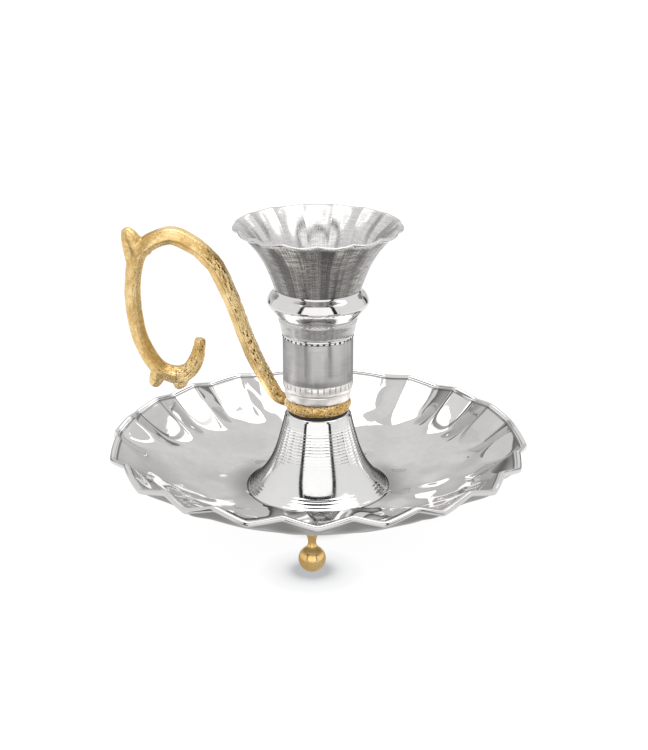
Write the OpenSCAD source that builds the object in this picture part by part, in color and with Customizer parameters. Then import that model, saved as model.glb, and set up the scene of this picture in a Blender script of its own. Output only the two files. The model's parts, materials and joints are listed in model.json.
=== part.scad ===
// Chamber candlestick: fluted dish on three ball feet, bell base,
// cast twig handle, candle cup and fluted trumpet, held by one tie rod.
// Millimetres, +Z up, origin on the floor under the middle of the dish.
// The front is -Y and the handle points to -X.

/* [Dish] */
// Greatest radius of the dish, at a lobe tip
dish_r = 89; // [78:1:110]
// Radius of the flat floor
dish_floor_r = 32; // [31.5:0.5:40]
// Slope of the wall where it meets the rim, degrees
rim_lean = 43; // [30:1:55]
// Thickness of the dish sheet
dish_t = 1.4; // [1:0.1:2]
// Radius of the rolled bead along the rim
rim_bead_r = 1.1; // [0.9:0.1:1.6]
// Number of lobes round the rim
lobe_count = 20; // [12:2:28]
// Depth of a flute, from lobe tip to the ridge beside it
flute_depth = 3.5; // [1:0.5:5]
// Where the flutes start, as a share of the curved wall
flute_start_share = 0.6; // [0.3:0.05:0.8]

/* [Feet] */
// Height of a foot, from the floor to its boss
foot_h = 16; // [14:0.5:24]
// Radius of the ball of a foot
foot_ball_r = 5.6; // [4:0.2:6]
// Radius of the neck of a foot
foot_neck_r = 1.7; // [1.4:0.1:2.4]
// Radius of the flat that a foot stands on
foot_flat_r = 1.5; // [1:0.1:2]
// Radius of the circle that the feet stand on
foot_circle_r = 46; // [38:1:55]
// Turn of the three feet about the middle, degrees
foot_turn = -3; // [-10:1:10]
// Radius of the boss under the dish that takes a foot
boss_r = 4.6; // [3.6:0.2:6]
// Height of the boss at its middle
boss_h = 2.3; // [2:0.1:4]
// Radius of the threaded stud on a foot
stud_r = 1.5; // [1.2:0.1:2]

/* [Bell base] */
// Radius of the bell at the dish
bell_foot_r = 30.5; // [24:0.5:31]
// Radius of the bell at its top
bell_top_r = 13.8; // [12:0.1:18]
// Height of the bell
bell_h = 34; // [26:1:50]
// Thickness of the bell sheet
bell_t = 1.2; // [0.8:0.1:2]
// Part of the spread that is a straight cone, the rest flares
bell_cone_share = 0.46; // [0.3:0.02:0.7]

/* [Handle] */
// Radius of the eye that the tie rod passes through
eye_r = 14; // [12:0.5:16]
// Height of the eye
eye_h = 5.6; // [4.5:0.1:8]
// Thickness of the fibre washer under the eye
eye_washer_t = 0.8; // [0.5:0.1:1.5]
// Distance of the outer side of the loop from the tie rod
handle_reach = 80.6; // [74:1:95]
// Height of the top of the loop above the bottom of the eye
handle_h = 79.6; // [72:1:95]
// Thickness of the bar in the plane of the loop
bar_w = 7.9; // [6:0.2:9]
// Thickness of the bar across the plane of the loop
bar_d = 7.4; // [5:0.2:9]

/* [Candle cup] */
// Radius of the bore that takes the candle
candle_r = 11.5; // [10:0.25:13]
// Thickness of the socket wall
socket_t = 0.9; // [0.6:0.1:1.4]
// Thickness of the sleeve wall
sleeve_t = 1; // [0.8:0.1:1.6]
// Height of the sleeve
sleeve_h = 36; // [30:0.5:45]

/* [Ferrule and collar] */
// Height of the ferrule
ferrule_h = 7; // [5:0.5:12]
// Spread of the ferrule over the sleeve, at its top
ferrule_flare = 1.75; // [1.5:0.05:2.5]
// Height of the collar bead
collar_h = 12; // [9:0.5:18]
// Spread of the collar bead over the ferrule
collar_bulge = 4.9; // [3:0.1:7]
// Spread of the neck over the ferrule
neck_step = 1.5; // [1:0.1:3]

/* [Trumpet] */
// Height of the trumpet above the collar
trumpet_h = 26; // [18:1:36]
// Spread of the trumpet from its neck to its mouth
trumpet_flare = 17.2; // [10:0.2:22]
// Part of the spread that is a straight cone, the rest flares
trumpet_cone_share = 0.54; // [0.3:0.02:0.8]
// Thickness of the trumpet sheet
trumpet_t = 1; // [0.8:0.1:1.4]
// Number of petals round the mouth
petal_count = 15; // [9:1:20]
// Depth of a petal at the mouth
petal_depth = 1.5; // [0.5:0.1:2.5]
// Where the petals start, as a share of the trumpet height
petal_start_share = 0.45; // [0.2:0.05:0.7]

/* [Tie rod] */
// Radius of the tie rod
rod_r = 3; // [2.5:0.5:4]
// Width of the nuts across their corners, halved
nut_r = 5.7; // [5.5:0.1:7.5]
// Height of the nuts
nut_h = 5; // [3:0.5:5.5]
// Radius of the washer in the cup
cup_washer_r = 6.3; // [6:0.1:9]
// Radius of the broad washer under the dish
under_washer_r = 12; // [9:0.5:18]
// Thickness of the washers
washer_t = 1.2; // [0.8:0.1:1.6]
// Thickness of the spring washer
spring_t = 1.6; // [1:0.1:2]
// Length of rod that shows past a nut
rod_past = 1; // [0.5:0.1:1.5]

/* [Hidden] */

$fn = 96;

// Clearances and the overrun of every cut
rod_gap = 0.2;
fit_gap = 0.1;
seat_gap = 0.02;
end_gap = 1.3;
over = 1;

// Dish: the underside is a flat floor and one arc that leaves it level
rim_mid_r = dish_r - rim_bead_r - (flute_depth - dish_t) / 2 * sin(rim_lean);
wall_arc_r = (rim_mid_r - dish_floor_r) / sin(rim_lean);
lobe_steps = 8;
dish_around = lobe_count * lobe_steps;
wall_steps = 8;
bead_steps = 4;
bead_wrap = 260;

// Height of the underside over the flat floor, at radius r
function bowl_rise(r) =
    r <= dish_floor_r ? 0 : wall_arc_r - sqrt(pow(wall_arc_r, 2) - pow(r - dish_floor_r, 2));

// Levels, from the floor up
dish_z = foot_h + boss_h - bowl_rise(foot_circle_r);
floor_z = dish_z + dish_t;
bell_top_z = floor_z + bell_h;
eye_z = bell_top_z + eye_washer_t;
sleeve_z = eye_z + eye_h;
sleeve_floor_z = sleeve_z + sleeve_t;
ferrule_z = sleeve_z + sleeve_h - ferrule_h;
collar_z = sleeve_z + sleeve_h;
neck_z = collar_z + collar_h;
mouth_z = neck_z + trumpet_h;
rod_top_z = sleeve_floor_z + washer_t + nut_h + rod_past;
rod_bottom_z = dish_z - washer_t - spring_t - nut_h - rod_past;

// Radii of the cup, the ferrule, the collar and the trumpet
socket_r = candle_r + socket_t;
sleeve_air = 1.35;
sleeve_r = socket_r + sleeve_air + sleeve_t;
sleeve_heel_r = sleeve_r - 1.05 * sleeve_t;
sleeve_heel_h = 2.6;
sleeve_shoulder_h = 1.2;
groove_d = 0.35;
groove_h = 0.6;
stop_bead_h = 0.9;
stop_bead_d = 0.3;
ferrule_lip = 0.35;
ferrule_r = sleeve_r + ferrule_flare;
spigot_step = 1.25;
spigot_r = sleeve_r + spigot_step;
spigot_t = 1.1;
flange_r = spigot_r - spigot_t - rod_gap;
spring_r = nut_r + rod_gap;
collar_t = 1;
collar_r = ferrule_r + collar_bulge;
neck_r = ferrule_r + neck_step;
ledge_lap = 0.6;

// Foot: a ball, a fillet up to the neck and a flare under the boss
ball_z = sqrt(pow(foot_ball_r, 2) - pow(foot_flat_r, 2));
foot_flare_r = 2.5;
foot_flare_h = 2;
neck_fillet = 1.2;
ball_steps = 20;
flare_steps = 5;
stud_l = 2;
boss_floor = 0.3;

// Bell: a lip on the dish and a small round at the shoulder
bell_steps = 18;
bell_lip_h = 1;
bell_round = 1.2;
bell_flare_power = 4;

// Handle: the middle line of the bar, as shares of the loop's reach and height
bar_way_shares = [
    [0.147, 0.004], [0.210, 0.030], [0.256, 0.093], [0.299, 0.180], [0.352, 0.293],
    [0.404, 0.435], [0.464, 0.617], [0.540, 0.803], [0.590, 0.872], [0.660, 0.940],
    [0.772, 1.000], [0.862, 0.982], [0.935, 0.933], [0.979, 0.850], [0.998, 0.706],
    [0.996, 0.575], [0.974, 0.424], [0.927, 0.300], [0.866, 0.212], [0.785, 0.172],
    [0.711, 0.193], [0.667, 0.262], [0.648, 0.336], [0.641, 0.395]];
// Thickness of the bar at each of those points, as a share of its full thickness
bar_thick_shares = [
    0.68, 0.76, 0.86, 0.90, 0.92,
    0.92, 0.95, 1.00, 1.00, 1.02,
    1.05, 1.03, 1.00, 1.00, 1.00,
    1.00, 1.00, 0.98, 1.00, 1.04,
    0.98, 0.80, 0.70, 0.50];
bar_way_steps = 3;
bar_sides = 12;
eye_edge = 0.8;
way_r = handle_reach - bar_w / 2;
way_z = eye_z + eye_h / 2;
way_h = eye_z + handle_h - bar_w * 1.05 / 2 - way_z;
// Spurs: start and end as shares of reach and height, then their two thickness shares
spur_shares = [
    [[0.965, 0.885], [1.022, 1.042], 1.35, 0.55],
    [[0.862, 0.220], [0.902, 0.100], 0.88, 0.76],
    [[0.745, 0.190], [0.765, 0.086], 1.00, 0.78]];
// Most that a spur measures across the plane of the loop, as a share of the bar
spur_depth_share = 0.85;
spur_steps = 4;
spur_sides = 10;

// Trumpet
petal_steps = 8;
trumpet_around = petal_count * petal_steps;
trumpet_steps = 8;
mouth_bead_r = 0.7;
mouth_bead_steps = 3;
trumpet_flare_power = 3.3;
trumpet_facing = 35;

// Pattern functions: zigzag runs from 1 at a lobe tip to -1 at a ridge,
// petal from 0 at the middle of a petal to 1 at the sharp ridge beside it
function zigzag(turns) = 4 * abs(turns - floor(turns) - 0.5) - 1;
function petal(turns) = 1 - abs(cos(180 * turns));
function clamp01(x) = min(1, max(0, x));
function fade(share, start) = sin(90 * clamp01((share - start) / (1 - start)));

// A point of the dish: slope of the wall, distance over the underside, turn
function dish_sag(lean, turn) =
    flute_depth / 2 * fade(lean / rim_lean, flute_start_share) * zigzag(turn * lobe_count / 360);
function dish_point(lean, lift, turn) =
    let (out = lift - dish_sag(lean, turn))
    let (r = dish_floor_r + wall_arc_r * sin(lean) - out * sin(lean))
    [r * sin(turn), -r * cos(turn), dish_z + wall_arc_r * (1 - cos(lean)) + out * cos(lean)];

// A point of the rim bead: swing runs from the underside round to the top
function bead_point(swing, turn) =
    let (tip = dish_t / 2 - dish_sag(rim_lean, turn) - rim_bead_r * cos(swing))
    let (along = rim_bead_r * sin(swing))
    let (r = rim_mid_r - tip * sin(rim_lean) + along * cos(rim_lean))
    [r * sin(turn), -r * cos(turn),
        dish_z + wall_arc_r * (1 - cos(rim_lean)) + tip * cos(rim_lean) + along * sin(rim_lean)];

// Closed skin over a stack of rings, with a flat cap on the first and the last
module skin(rings) {
    n = len(rings[0]);
    last = len(rings) - 1;
    walls = [for (i = [0 : last - 1], j = [0 : n - 1])
        let (k = (j + 1) % n)
        each [[i * n + j, (i + 1) * n + j, (i + 1) * n + k],
              [i * n + j, (i + 1) * n + k, i * n + k]]];
    bottom = [for (j = [0 : n - 1]) j];
    top = [for (j = [n - 1 : -1 : 0]) last * n + j];
    polyhedron([for (ring = rings) each ring], concat([bottom], walls, [top]), convexity = 10);
}

module washer(outer_r, height, z) {
    translate([0, 0, z])
        difference() {
            cylinder(h = height, r = outer_r);
            translate([0, 0, -over])
                cylinder(h = height + 2 * over, r = rod_r + rod_gap);
        }
}

module hex_nut(z) {
    translate([0, 0, z])
        difference() {
            cylinder(h = nut_h, r = nut_r, $fn = 6);
            translate([0, 0, -over])
                cylinder(h = nut_h + 2 * over, r = rod_r + seat_gap);
        }
}

module rod_hole(z, height) {
    translate([0, 0, z - over])
        cylinder(h = height + 2 * over, r = rod_r + rod_gap);
}

module dish() {
    leans = [for (i = [0 : wall_steps]) rim_lean * i / wall_steps];
    swings = [for (i = [0 : bead_steps]) (180 - bead_wrap) / 2 + bead_wrap * i / bead_steps];
    turns = [for (j = [0 : dish_around - 1]) 360 * j / dish_around];
    under = [for (i = [0 : wall_steps - 1]) [for (a = turns) dish_point(leans[i], 0, a)]];
    bead = [for (s = swings) [for (a = turns) bead_point(s, a)]];
    upper = [for (i = [wall_steps - 1 : -1 : 0]) [for (a = turns) dish_point(leans[i], dish_t, a)]];
    color("lightsteelblue")
        difference() {
            skin(concat(under, bead, upper));
            rod_hole(dish_z, dish_t);
        }
}

// Outline of a foot, from the flat it stands on up to the flare
function foot_outline() =
    let (low = asin(foot_flat_r / foot_ball_r))
    let (high = 180 - asin((foot_neck_r + neck_fillet * (1 - cos(45))) / foot_ball_r))
    concat(
        [[0, 0]],
        [for (i = [0 : ball_steps])
            let (a = low + (high - low) * i / ball_steps)
            [foot_ball_r * sin(a), ball_z - foot_ball_r * cos(a)]],
        [[foot_neck_r, ball_z - foot_ball_r * cos(high) + neck_fillet]],
        [for (i = [0 : flare_steps])
            let (u = i / flare_steps)
            [foot_neck_r + (foot_flare_r - foot_neck_r) * pow(u, 2),
                foot_h - foot_flare_h * (1 - u)]],
        [[stud_r, foot_h], [stud_r, foot_h + stud_l - boss_floor], [0, foot_h + stud_l - boss_floor]]);

module at_foot(turn) {
    rotate([0, 0, turn + foot_turn])
        translate([0, -foot_circle_r, 0])
            children();
}

module foot(turn) {
    color("goldenrod")
        at_foot(turn)
            rotate_extrude()
                polygon(foot_outline());
}

// Solid over the underside of the dish, which saddles the bosses
module bowl_core() {
    edge = foot_circle_r + boss_r + over;
    arc = [for (i = [0 : wall_steps * 2])
        let (r = dish_floor_r + (edge - dish_floor_r) * i / (wall_steps * 2))
        [r, dish_z - seat_gap + bowl_rise(r)]];
    rotate_extrude()
        polygon(concat([[0, dish_z - seat_gap]], arc, [[edge, floor_z + edge], [0, floor_z + edge]]));
}

module foot_bosses() {
    color("silver")
        for (turn = [0, 120, 240])
            difference() {
                at_foot(turn)
                    translate([0, 0, foot_h])
                        difference() {
                            cylinder(h = boss_h * 2, r = boss_r);
                            translate([0, 0, -over])
                                cylinder(h = over + stud_l, r = stud_r + seat_gap);
                        }
                bowl_core();
            }
}

// Radius of the bell at a share of its height, from the dish up
function bell_at(u) =
    let (spread = bell_foot_r - bell_top_r)
    bell_top_r + spread * bell_cone_share * (1 - u)
        + spread * (1 - bell_cone_share) * pow(1 - u, bell_flare_power);

module bell_base() {
    top_share = 1 - bell_round / bell_h;
    outside = concat(
        [[bell_foot_r, floor_z], [bell_foot_r, floor_z + bell_lip_h * 0.6]],
        [for (i = [0 : bell_steps])
            let (u = bell_lip_h / bell_h + (top_share - bell_lip_h / bell_h) * i / bell_steps)
            [bell_at(u), floor_z + bell_h * u]],
        [for (a = [30, 60, 90])
            [bell_top_r - bell_round * (1 - cos(a)), bell_top_z - bell_round * (1 - sin(a))]]);
    inside = [for (i = [bell_steps : -1 : 0])
        let (u = (1 - bell_t / bell_h) * i / bell_steps)
        [bell_at(u) - bell_t * 1.15, floor_z + bell_h * u]];
    color("gainsboro")
        difference() {
            rotate_extrude()
                polygon(concat([[0, bell_top_z - bell_t], [0, bell_top_z]],
                    [for (i = [len(outside) - 1 : -1 : 0]) outside[i]],
                    [for (i = [len(inside) - 1 : -1 : 0]) inside[i]]));
            rod_hole(bell_top_z - bell_t, bell_t);
        }
}

module eye_washer() {
    color("dimgray")
        washer(bell_top_r - bell_round, eye_washer_t, bell_top_z);
}

// Smooth curve through a list of points, with the same number of steps in each span
function spline(p, steps) =
    let (last = len(p) - 1)
    [for (i = [0 : last - 1], s = [0 : steps - (i == last - 1 ? 0 : 1)])
        let (t = s / steps)
        let (a = p[max(i - 1, 0)], b = p[i], c = p[i + 1], d = p[min(i + 2, last)])
        b + (c - a) * t / 2 + (a * 2 - b * 5 + c * 4 - d) * pow(t, 2) / 2
            + (b * 3 - a - c * 3 + d) * pow(t, 3) / 2];

// One ring of a bar in the XZ plane: p is its middle, way its direction
function bar_ring(p, way, w, d, sides) =
    let (flow = way / norm(way))
    [for (j = [0 : sides - 1])
        let (a = 360 * j / sides)
        [p[0] - flow[1] * w / 2 * cos(a), -d / 2 * sin(a), p[1] + flow[0] * w / 2 * cos(a)]];

// Bar along a curve of points, with a width and a depth at each
module bar(line, widths, depths, sides) {
    last = len(line) - 1;
    skin([for (i = [0 : last])
        bar_ring(line[i], line[min(i + 1, last)] - line[max(i - 1, 0)], widths[i], depths[i], sides)]);
}

function on_loop(share) = [-way_r * share[0], way_z + way_h * share[1]];

module handle_bar() {
    line = spline([for (s = bar_way_shares) on_loop(s)], bar_way_steps);
    thick = spline(bar_thick_shares, bar_way_steps);
    bar(line, bar_w * thick, bar_d * thick, bar_sides);
}

// A spur swells over its root and closes in a blunt round end
module spur(ends) {
    a = on_loop(ends[0]);
    b = on_loop(ends[1]);
    us = [for (i = [0 : spur_steps]) sin(90 * i / spur_steps)];
    line = [for (u = us) a + (b - a) * u];
    thick = [for (u = us) (ends[2] + (ends[3] - ends[2]) * u) * (0.3 + 0.7 * sqrt(1 - pow(u, 4)))];
    bar(line, bar_w * thick, bar_d * [for (t = thick) min(t, spur_depth_share)], spur_sides);
}

module handle() {
    color("goldenrod")
        difference() {
            union() {
                rotate_extrude()
                    polygon([[0, eye_z], [eye_r - eye_edge, eye_z], [eye_r, eye_z + eye_edge],
                        [eye_r, sleeve_z - eye_edge], [eye_r - eye_edge, sleeve_z], [0, sleeve_z]]);
                handle_bar();
                for (ends = spur_shares)
                    spur(ends);
            }
            rod_hole(eye_z, eye_h);
        }
}

module cup_sleeve() {
    shoulder_z = sleeve_z + sleeve_heel_h;
    color("gainsboro")
        difference() {
            rotate_extrude()
                polygon([
                    [0, sleeve_z],
                    [sleeve_heel_r - groove_d, sleeve_z],
                    [sleeve_heel_r, sleeve_z + groove_d],
                    [sleeve_heel_r, shoulder_z - groove_h],
                    [sleeve_heel_r - groove_d, shoulder_z - groove_h / 2],
                    [sleeve_heel_r, shoulder_z],
                    [sleeve_r, shoulder_z + sleeve_shoulder_h],
                    [sleeve_r, ferrule_z - stop_bead_h],
                    [sleeve_r + stop_bead_d, ferrule_z - stop_bead_h * 0.7],
                    [sleeve_r + stop_bead_d, ferrule_z],
                    [sleeve_r, ferrule_z],
                    [sleeve_r, collar_z],
                    [sleeve_r - sleeve_t, collar_z],
                    [sleeve_r - sleeve_t, shoulder_z + sleeve_shoulder_h],
                    [sleeve_heel_r - sleeve_t - groove_d, shoulder_z - groove_h],
                    [sleeve_heel_r - sleeve_t - groove_d, sleeve_floor_z],
                    [0, sleeve_floor_z]]);
            rod_hole(sleeve_z, sleeve_t);
        }
}

module candle_socket() {
    bottom_z = rod_top_z + end_gap;
    color("silver")
        difference() {
            union() {
                translate([0, 0, bottom_z])
                    cylinder(h = collar_z + socket_t - bottom_z, r = socket_r);
                translate([0, 0, collar_z])
                    cylinder(h = socket_t, r = flange_r);
            }
            translate([0, 0, bottom_z + socket_t])
                cylinder(h = collar_z + over - bottom_z, r = candle_r);
        }
}

module ferrule_ring() {
    color("gainsboro")
        rotate_extrude()
            polygon([
                [sleeve_r + fit_gap, ferrule_z],
                [sleeve_r + ferrule_lip, ferrule_z],
                [sleeve_r + ferrule_flare * 0.65, ferrule_z + ferrule_h * 0.45],
                [ferrule_r, ferrule_z + ferrule_h * 0.8],
                [ferrule_r, collar_z],
                [sleeve_r + fit_gap, collar_z]]);
}

// Outline of the collar bead: shares of its height and of its bulge
collar_low_shares = [[0, 0], [0.10, 0.29], [0.23, 0.59], [0.36, 0.84], [0.45, 0.97], [0.51, 1]];
collar_high_shares = [[0.58, 0.95], [0.66, 0.82], [0.77, 0.60], [0.88, 0.27], [1, 0]];

module collar_bead() {
    outside = concat(
        [for (s = collar_low_shares)
            [ferrule_r + collar_bulge * s[1], collar_z + collar_h * s[0]]],
        [for (s = collar_high_shares)
            [neck_r + (collar_r - neck_r) * s[1], collar_z + collar_h * s[0]]]);
    inside = [for (i = [len(outside) - 1 : -1 : 0])
        [max(outside[i][0] - collar_t, spigot_r + fit_gap), outside[i][1]]];
    color("gainsboro")
        rotate_extrude()
            polygon(concat(outside, inside));
}

// A point of the trumpet: share of its height, distance in from the outside, turn
function trumpet_point(u, depth, turn) =
    let (in = depth + petal_depth * fade(u, petal_start_share) * petal(turn * petal_count / 360 + 0.5))
    let (tilt = trumpet_facing * u)
    let (r = neck_r + trumpet_flare * (trumpet_cone_share * u
        + (1 - trumpet_cone_share) * pow(u, trumpet_flare_power)) - in * cos(tilt))
    [r * sin(turn), -r * cos(turn), neck_z + trumpet_h * u + in * sin(tilt)];

module trumpet() {
    turns = [for (j = [0 : trumpet_around - 1]) 360 * j / trumpet_around];
    us = [for (i = [0 : trumpet_steps]) sin(90 * i / trumpet_steps)];
    edge_share = mouth_bead_r / trumpet_h;
    outside = [for (u = us) [for (a = turns) trumpet_point(u * (1 - edge_share), 0, a)]];
    bead = [for (i = [1 : mouth_bead_steps])
        let (swing = 180 * i / (mouth_bead_steps + 1))
        [for (a = turns)
            trumpet_point(1 - edge_share + edge_share * sin(swing),
                trumpet_t * (1 - cos(swing)) / 2, a)]];
    inside = [for (i = [trumpet_steps : -1 : 0])
        [for (a = turns) trumpet_point(us[i] * (1 - edge_share), trumpet_t, a)]];
    color("lightgray")
        union() {
            ring_skin(concat(outside, bead, inside));
            rotate_extrude()
                polygon([
                    [spigot_r - spigot_t, collar_z],
                    [spigot_r, collar_z],
                    [spigot_r, neck_z],
                    [neck_r - trumpet_t + ledge_lap / 2, neck_z],
                    [neck_r - trumpet_t + ledge_lap / 2, neck_z + trumpet_t / 2],
                    [neck_r - trumpet_t, neck_z + trumpet_t],
                    [spigot_r - spigot_t, neck_z + trumpet_t]]);
        }
}

// Closed ring-shaped skin: the last ring joins the first
module ring_skin(rings) {
    n = len(rings[0]);
    m = len(rings);
    walls = [for (i = [0 : m - 1], j = [0 : n - 1])
        let (k = (j + 1) % n, e = (i + 1) % m)
        each [[i * n + j, e * n + j, e * n + k], [i * n + j, e * n + k, i * n + k]]];
    polyhedron([for (ring = rings) each ring], walls, convexity = 10);
}

module tie_rod() {
    color("darkgray")
        translate([0, 0, rod_bottom_z])
            cylinder(h = rod_top_z - rod_bottom_z, r = rod_r);
}

module cup_washer() {
    color("darkgray")
        washer(cup_washer_r, washer_t, sleeve_floor_z);
}

module cup_nut() {
    color("darkgray")
        hex_nut(sleeve_floor_z + washer_t);
}

module under_washer() {
    color("darkgray")
        washer(under_washer_r, washer_t, dish_z - washer_t);
}

module spring_washer() {
    color("darkgray")
        washer(spring_r, spring_t, dish_z - washer_t - spring_t);
}

module under_nut() {
    color("darkgray")
        hex_nut(dish_z - washer_t - spring_t - nut_h);
}

dish();
foot(0);  // foot_front
foot(240);  // foot_rear_left
foot(120);  // foot_rear_right
foot_bosses();
bell_base();
eye_washer();
handle();
cup_sleeve();
candle_socket();
ferrule_ring();
collar_bead();
trumpet();
tie_rod();
cup_washer();
cup_nut();
under_washer();
spring_washer();
under_nut();
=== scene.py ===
"""Looks of a chamber candlestick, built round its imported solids.

Metres, +Z up, origin on the floor under the middle of the dish. The front is -Y
and the handle points to -X. Turns are in degrees from the front towards +X.
"""

import json
import logging
import math
from dataclasses import dataclass, field
from enum import Enum
from typing import Sequence

import bmesh
import bpy
import numpy as np
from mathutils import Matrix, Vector, noise


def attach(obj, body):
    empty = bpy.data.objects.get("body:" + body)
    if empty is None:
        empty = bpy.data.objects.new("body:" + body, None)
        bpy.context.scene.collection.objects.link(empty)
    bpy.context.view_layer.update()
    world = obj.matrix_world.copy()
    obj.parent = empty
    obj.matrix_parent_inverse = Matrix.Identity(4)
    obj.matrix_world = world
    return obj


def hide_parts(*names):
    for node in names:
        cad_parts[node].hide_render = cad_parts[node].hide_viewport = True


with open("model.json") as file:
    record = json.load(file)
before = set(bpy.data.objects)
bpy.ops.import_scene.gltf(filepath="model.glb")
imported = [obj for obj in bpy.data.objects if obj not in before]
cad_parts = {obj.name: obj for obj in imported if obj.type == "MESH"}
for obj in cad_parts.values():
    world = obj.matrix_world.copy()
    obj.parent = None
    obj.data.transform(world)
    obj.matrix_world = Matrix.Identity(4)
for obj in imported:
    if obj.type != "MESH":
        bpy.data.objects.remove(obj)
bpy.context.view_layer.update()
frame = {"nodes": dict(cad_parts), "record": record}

MM = 0.001
FULL_TURN = 360.0
ROD_HOLE_R = 3.2
SPUN_SIDES = 160
log = logging.getLogger("candlestick")

Pair = tuple[float, float]
Triple = tuple[float, float, float]
Colour = Triple
Value = bpy.types.NodeSocket | float | tuple[float, ...]

# Tones on steel: the tool's darker lines, with painted shade and painted highlights

# white: the floor's paper, and the painted highlights on the bell's turned rings
WHITE: Colour = (1.0, 1.0, 1.0)
# painted highlight on the rim's bead
PAINTED_BEAD_HIGHLIGHT: Colour = (0.67, 0.665, 0.66)
# painted shade, beside the bell and up the dish's front wall
PAINTED_SHADE: Colour = (0.20, 0.195, 0.19)
SCORED: Colour = (0.16, 0.157, 0.153)
# painted shade: broad dark streaks, and the groove beside the dish's bead
PAINTED_STREAK_SHADE: Colour = (0.12, 0.118, 0.115)
# painted shade along the folds of the pressed panels
PAINTED_FOLD_SHADE: Colour = (0.07, 0.068, 0.065)


class Slot(Enum):
    """Material slots of the record."""

    POLISHED = "polished_steel"
    BRUSHED = "brushed_steel"
    CAST_GOLD = "gold_cast"
    TURNED_GOLD = "gold_brass"
    PLAIN = "fastener_steel"
    FIBRE = "fibre"


class Grain(Enum):
    """Ways in which a steel surface is worked."""

    MIRROR = "mirror"
    LATHE = "lathe"
    CROSSED = "crossed"


# Node trees


class Bench:
    """Lays nodes in one tree and wires them together."""

    def __init__(self, tree: bpy.types.NodeTree) -> None:
        """Keeps the tree.

        Args:
            tree: The tree that gets the nodes.
        """
        self.tree = tree

    def add(self, kind: str, **settings: object) -> bpy.types.Node:
        """Adds one node.

        Args:
            kind: Blender's name of the node type.
            settings: Properties to set on the node.

        Returns:
            The new node.
        """
        node = self.tree.nodes.new(kind)
        for name, value in settings.items():
            setattr(node, name, value)
        return node

    def feed(self, socket: bpy.types.NodeSocket, value: Value) -> None:
        """Links a socket to an input, or sets the input's own value.

        Args:
            socket: The input.
            value: An output socket, or a plain value.
        """
        if isinstance(value, bpy.types.NodeSocket):
            self.tree.links.new(value, socket)
        else:
            socket.default_value = value

    def math(self, operation: str, *values: Value, clamp: bool = False) -> bpy.types.NodeSocket:
        """Adds a Math node.

        Args:
            operation: Its operation.
            values: Its inputs, in order.
            clamp: Whether the result is kept from 0 to 1.

        Returns:
            Its output.
        """
        node = self.add("ShaderNodeMath", operation=operation, use_clamp=clamp)
        for i, value in enumerate(values):
            self.feed(node.inputs[i], value)
        return node.outputs[0]

    def vector(self, operation: str, *values: Value) -> bpy.types.Node:
        """Adds a Vector Math node.

        Args:
            operation: Its operation.
            values: Its vector inputs, in order; a lone number feeds Scale.

        Returns:
            The node.
        """
        node = self.add("ShaderNodeVectorMath", operation=operation)
        if operation == "SCALE":
            self.feed(node.inputs[0], values[0])
            self.feed(node.inputs["Scale"], values[1])
            return node
        for i, value in enumerate(values):
            self.feed(node.inputs[i], value)
        return node

    def combine(self, x: Value, y: Value, z: Value) -> bpy.types.NodeSocket:
        """Makes a vector from three numbers.

        Args:
            x: Its first number.
            y: Its second number.
            z: Its third number.

        Returns:
            The vector.
        """
        node = self.add("ShaderNodeCombineXYZ")
        for socket, value in zip(node.inputs, (x, y, z)):
            self.feed(socket, value)
        return node.outputs[0]

    def split(self, value: Value) -> bpy.types.Node:
        """Splits a vector into three numbers.

        Args:
            value: The vector.

        Returns:
            The node, with the numbers as its outputs.
        """
        node = self.add("ShaderNodeSeparateXYZ")
        self.feed(node.inputs[0], value)
        return node

    def spread(self, value: Value, low: float, high: float,
               to_low: Value = 0.0, to_high: Value = 1.0, smooth: bool = True) -> bpy.types.NodeSocket:
        """Maps a range of values to another.

        Args:
            value: The number to map.
            low: Start of the range read.
            high: End of the range read.
            to_low: Result at the start.
            to_high: Result at the end.
            smooth: Whether the ends are eased.

        Returns:
            The mapped number.
        """
        node = self.add("ShaderNodeMapRange", interpolation_type="SMOOTHSTEP" if smooth else "LINEAR")
        for name, item in (("Value", value), ("From Min", low), ("From Max", high),
                           ("To Min", to_low), ("To Max", to_high)):
            self.feed(node.inputs[name], item)
        return node.outputs["Result"]

    def noise(self, place: Value, scale: Value, detail: float = 2.0,
              seed: Value = 0.0) -> bpy.types.NodeSocket:
        """Adds a four-dimensional Noise Texture.

        Args:
            place: Where it is read.
            scale: Its lumps per metre.
            detail: Its finer layers.
            seed: Its W, which picks the pattern.

        Returns:
            A value from 0 to 1.
        """
        node = self.add("ShaderNodeTexNoise", noise_dimensions="4D")
        self.feed(node.inputs["Vector"], place)
        self.feed(node.inputs["W"], seed)
        self.feed(node.inputs["Scale"], scale)
        node.inputs["Detail"].default_value = detail
        return node.outputs[0]


def group_tree(name: str, kind: str, ins: Sequence[tuple],
               outs: Sequence[tuple]) -> tuple[Bench, dict[str, bpy.types.NodeSocket], bpy.types.Node]:
    """Starts a node group with named sockets.

    Args:
        name: Name of the group.
        kind: Tree type.
        ins: Inputs, each a name, a socket type and a starting value or None.
        outs: Outputs, each a name and a socket type.

    Returns:
        The bench, the inputs by name, and the Group Output node.
    """
    tree = bpy.data.node_groups.new(name, kind)
    for label, socket_type, value in ins:
        socket = tree.interface.new_socket(label, in_out="INPUT", socket_type=socket_type)
        if value is not None:
            socket.default_value = value
    for label, socket_type in outs:
        tree.interface.new_socket(label, in_out="OUTPUT", socket_type=socket_type)
    bench = Bench(tree)
    source = bench.add("NodeGroupInput")
    return bench, {s.name: s for s in source.outputs if s.name}, bench.add("NodeGroupOutput")


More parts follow.
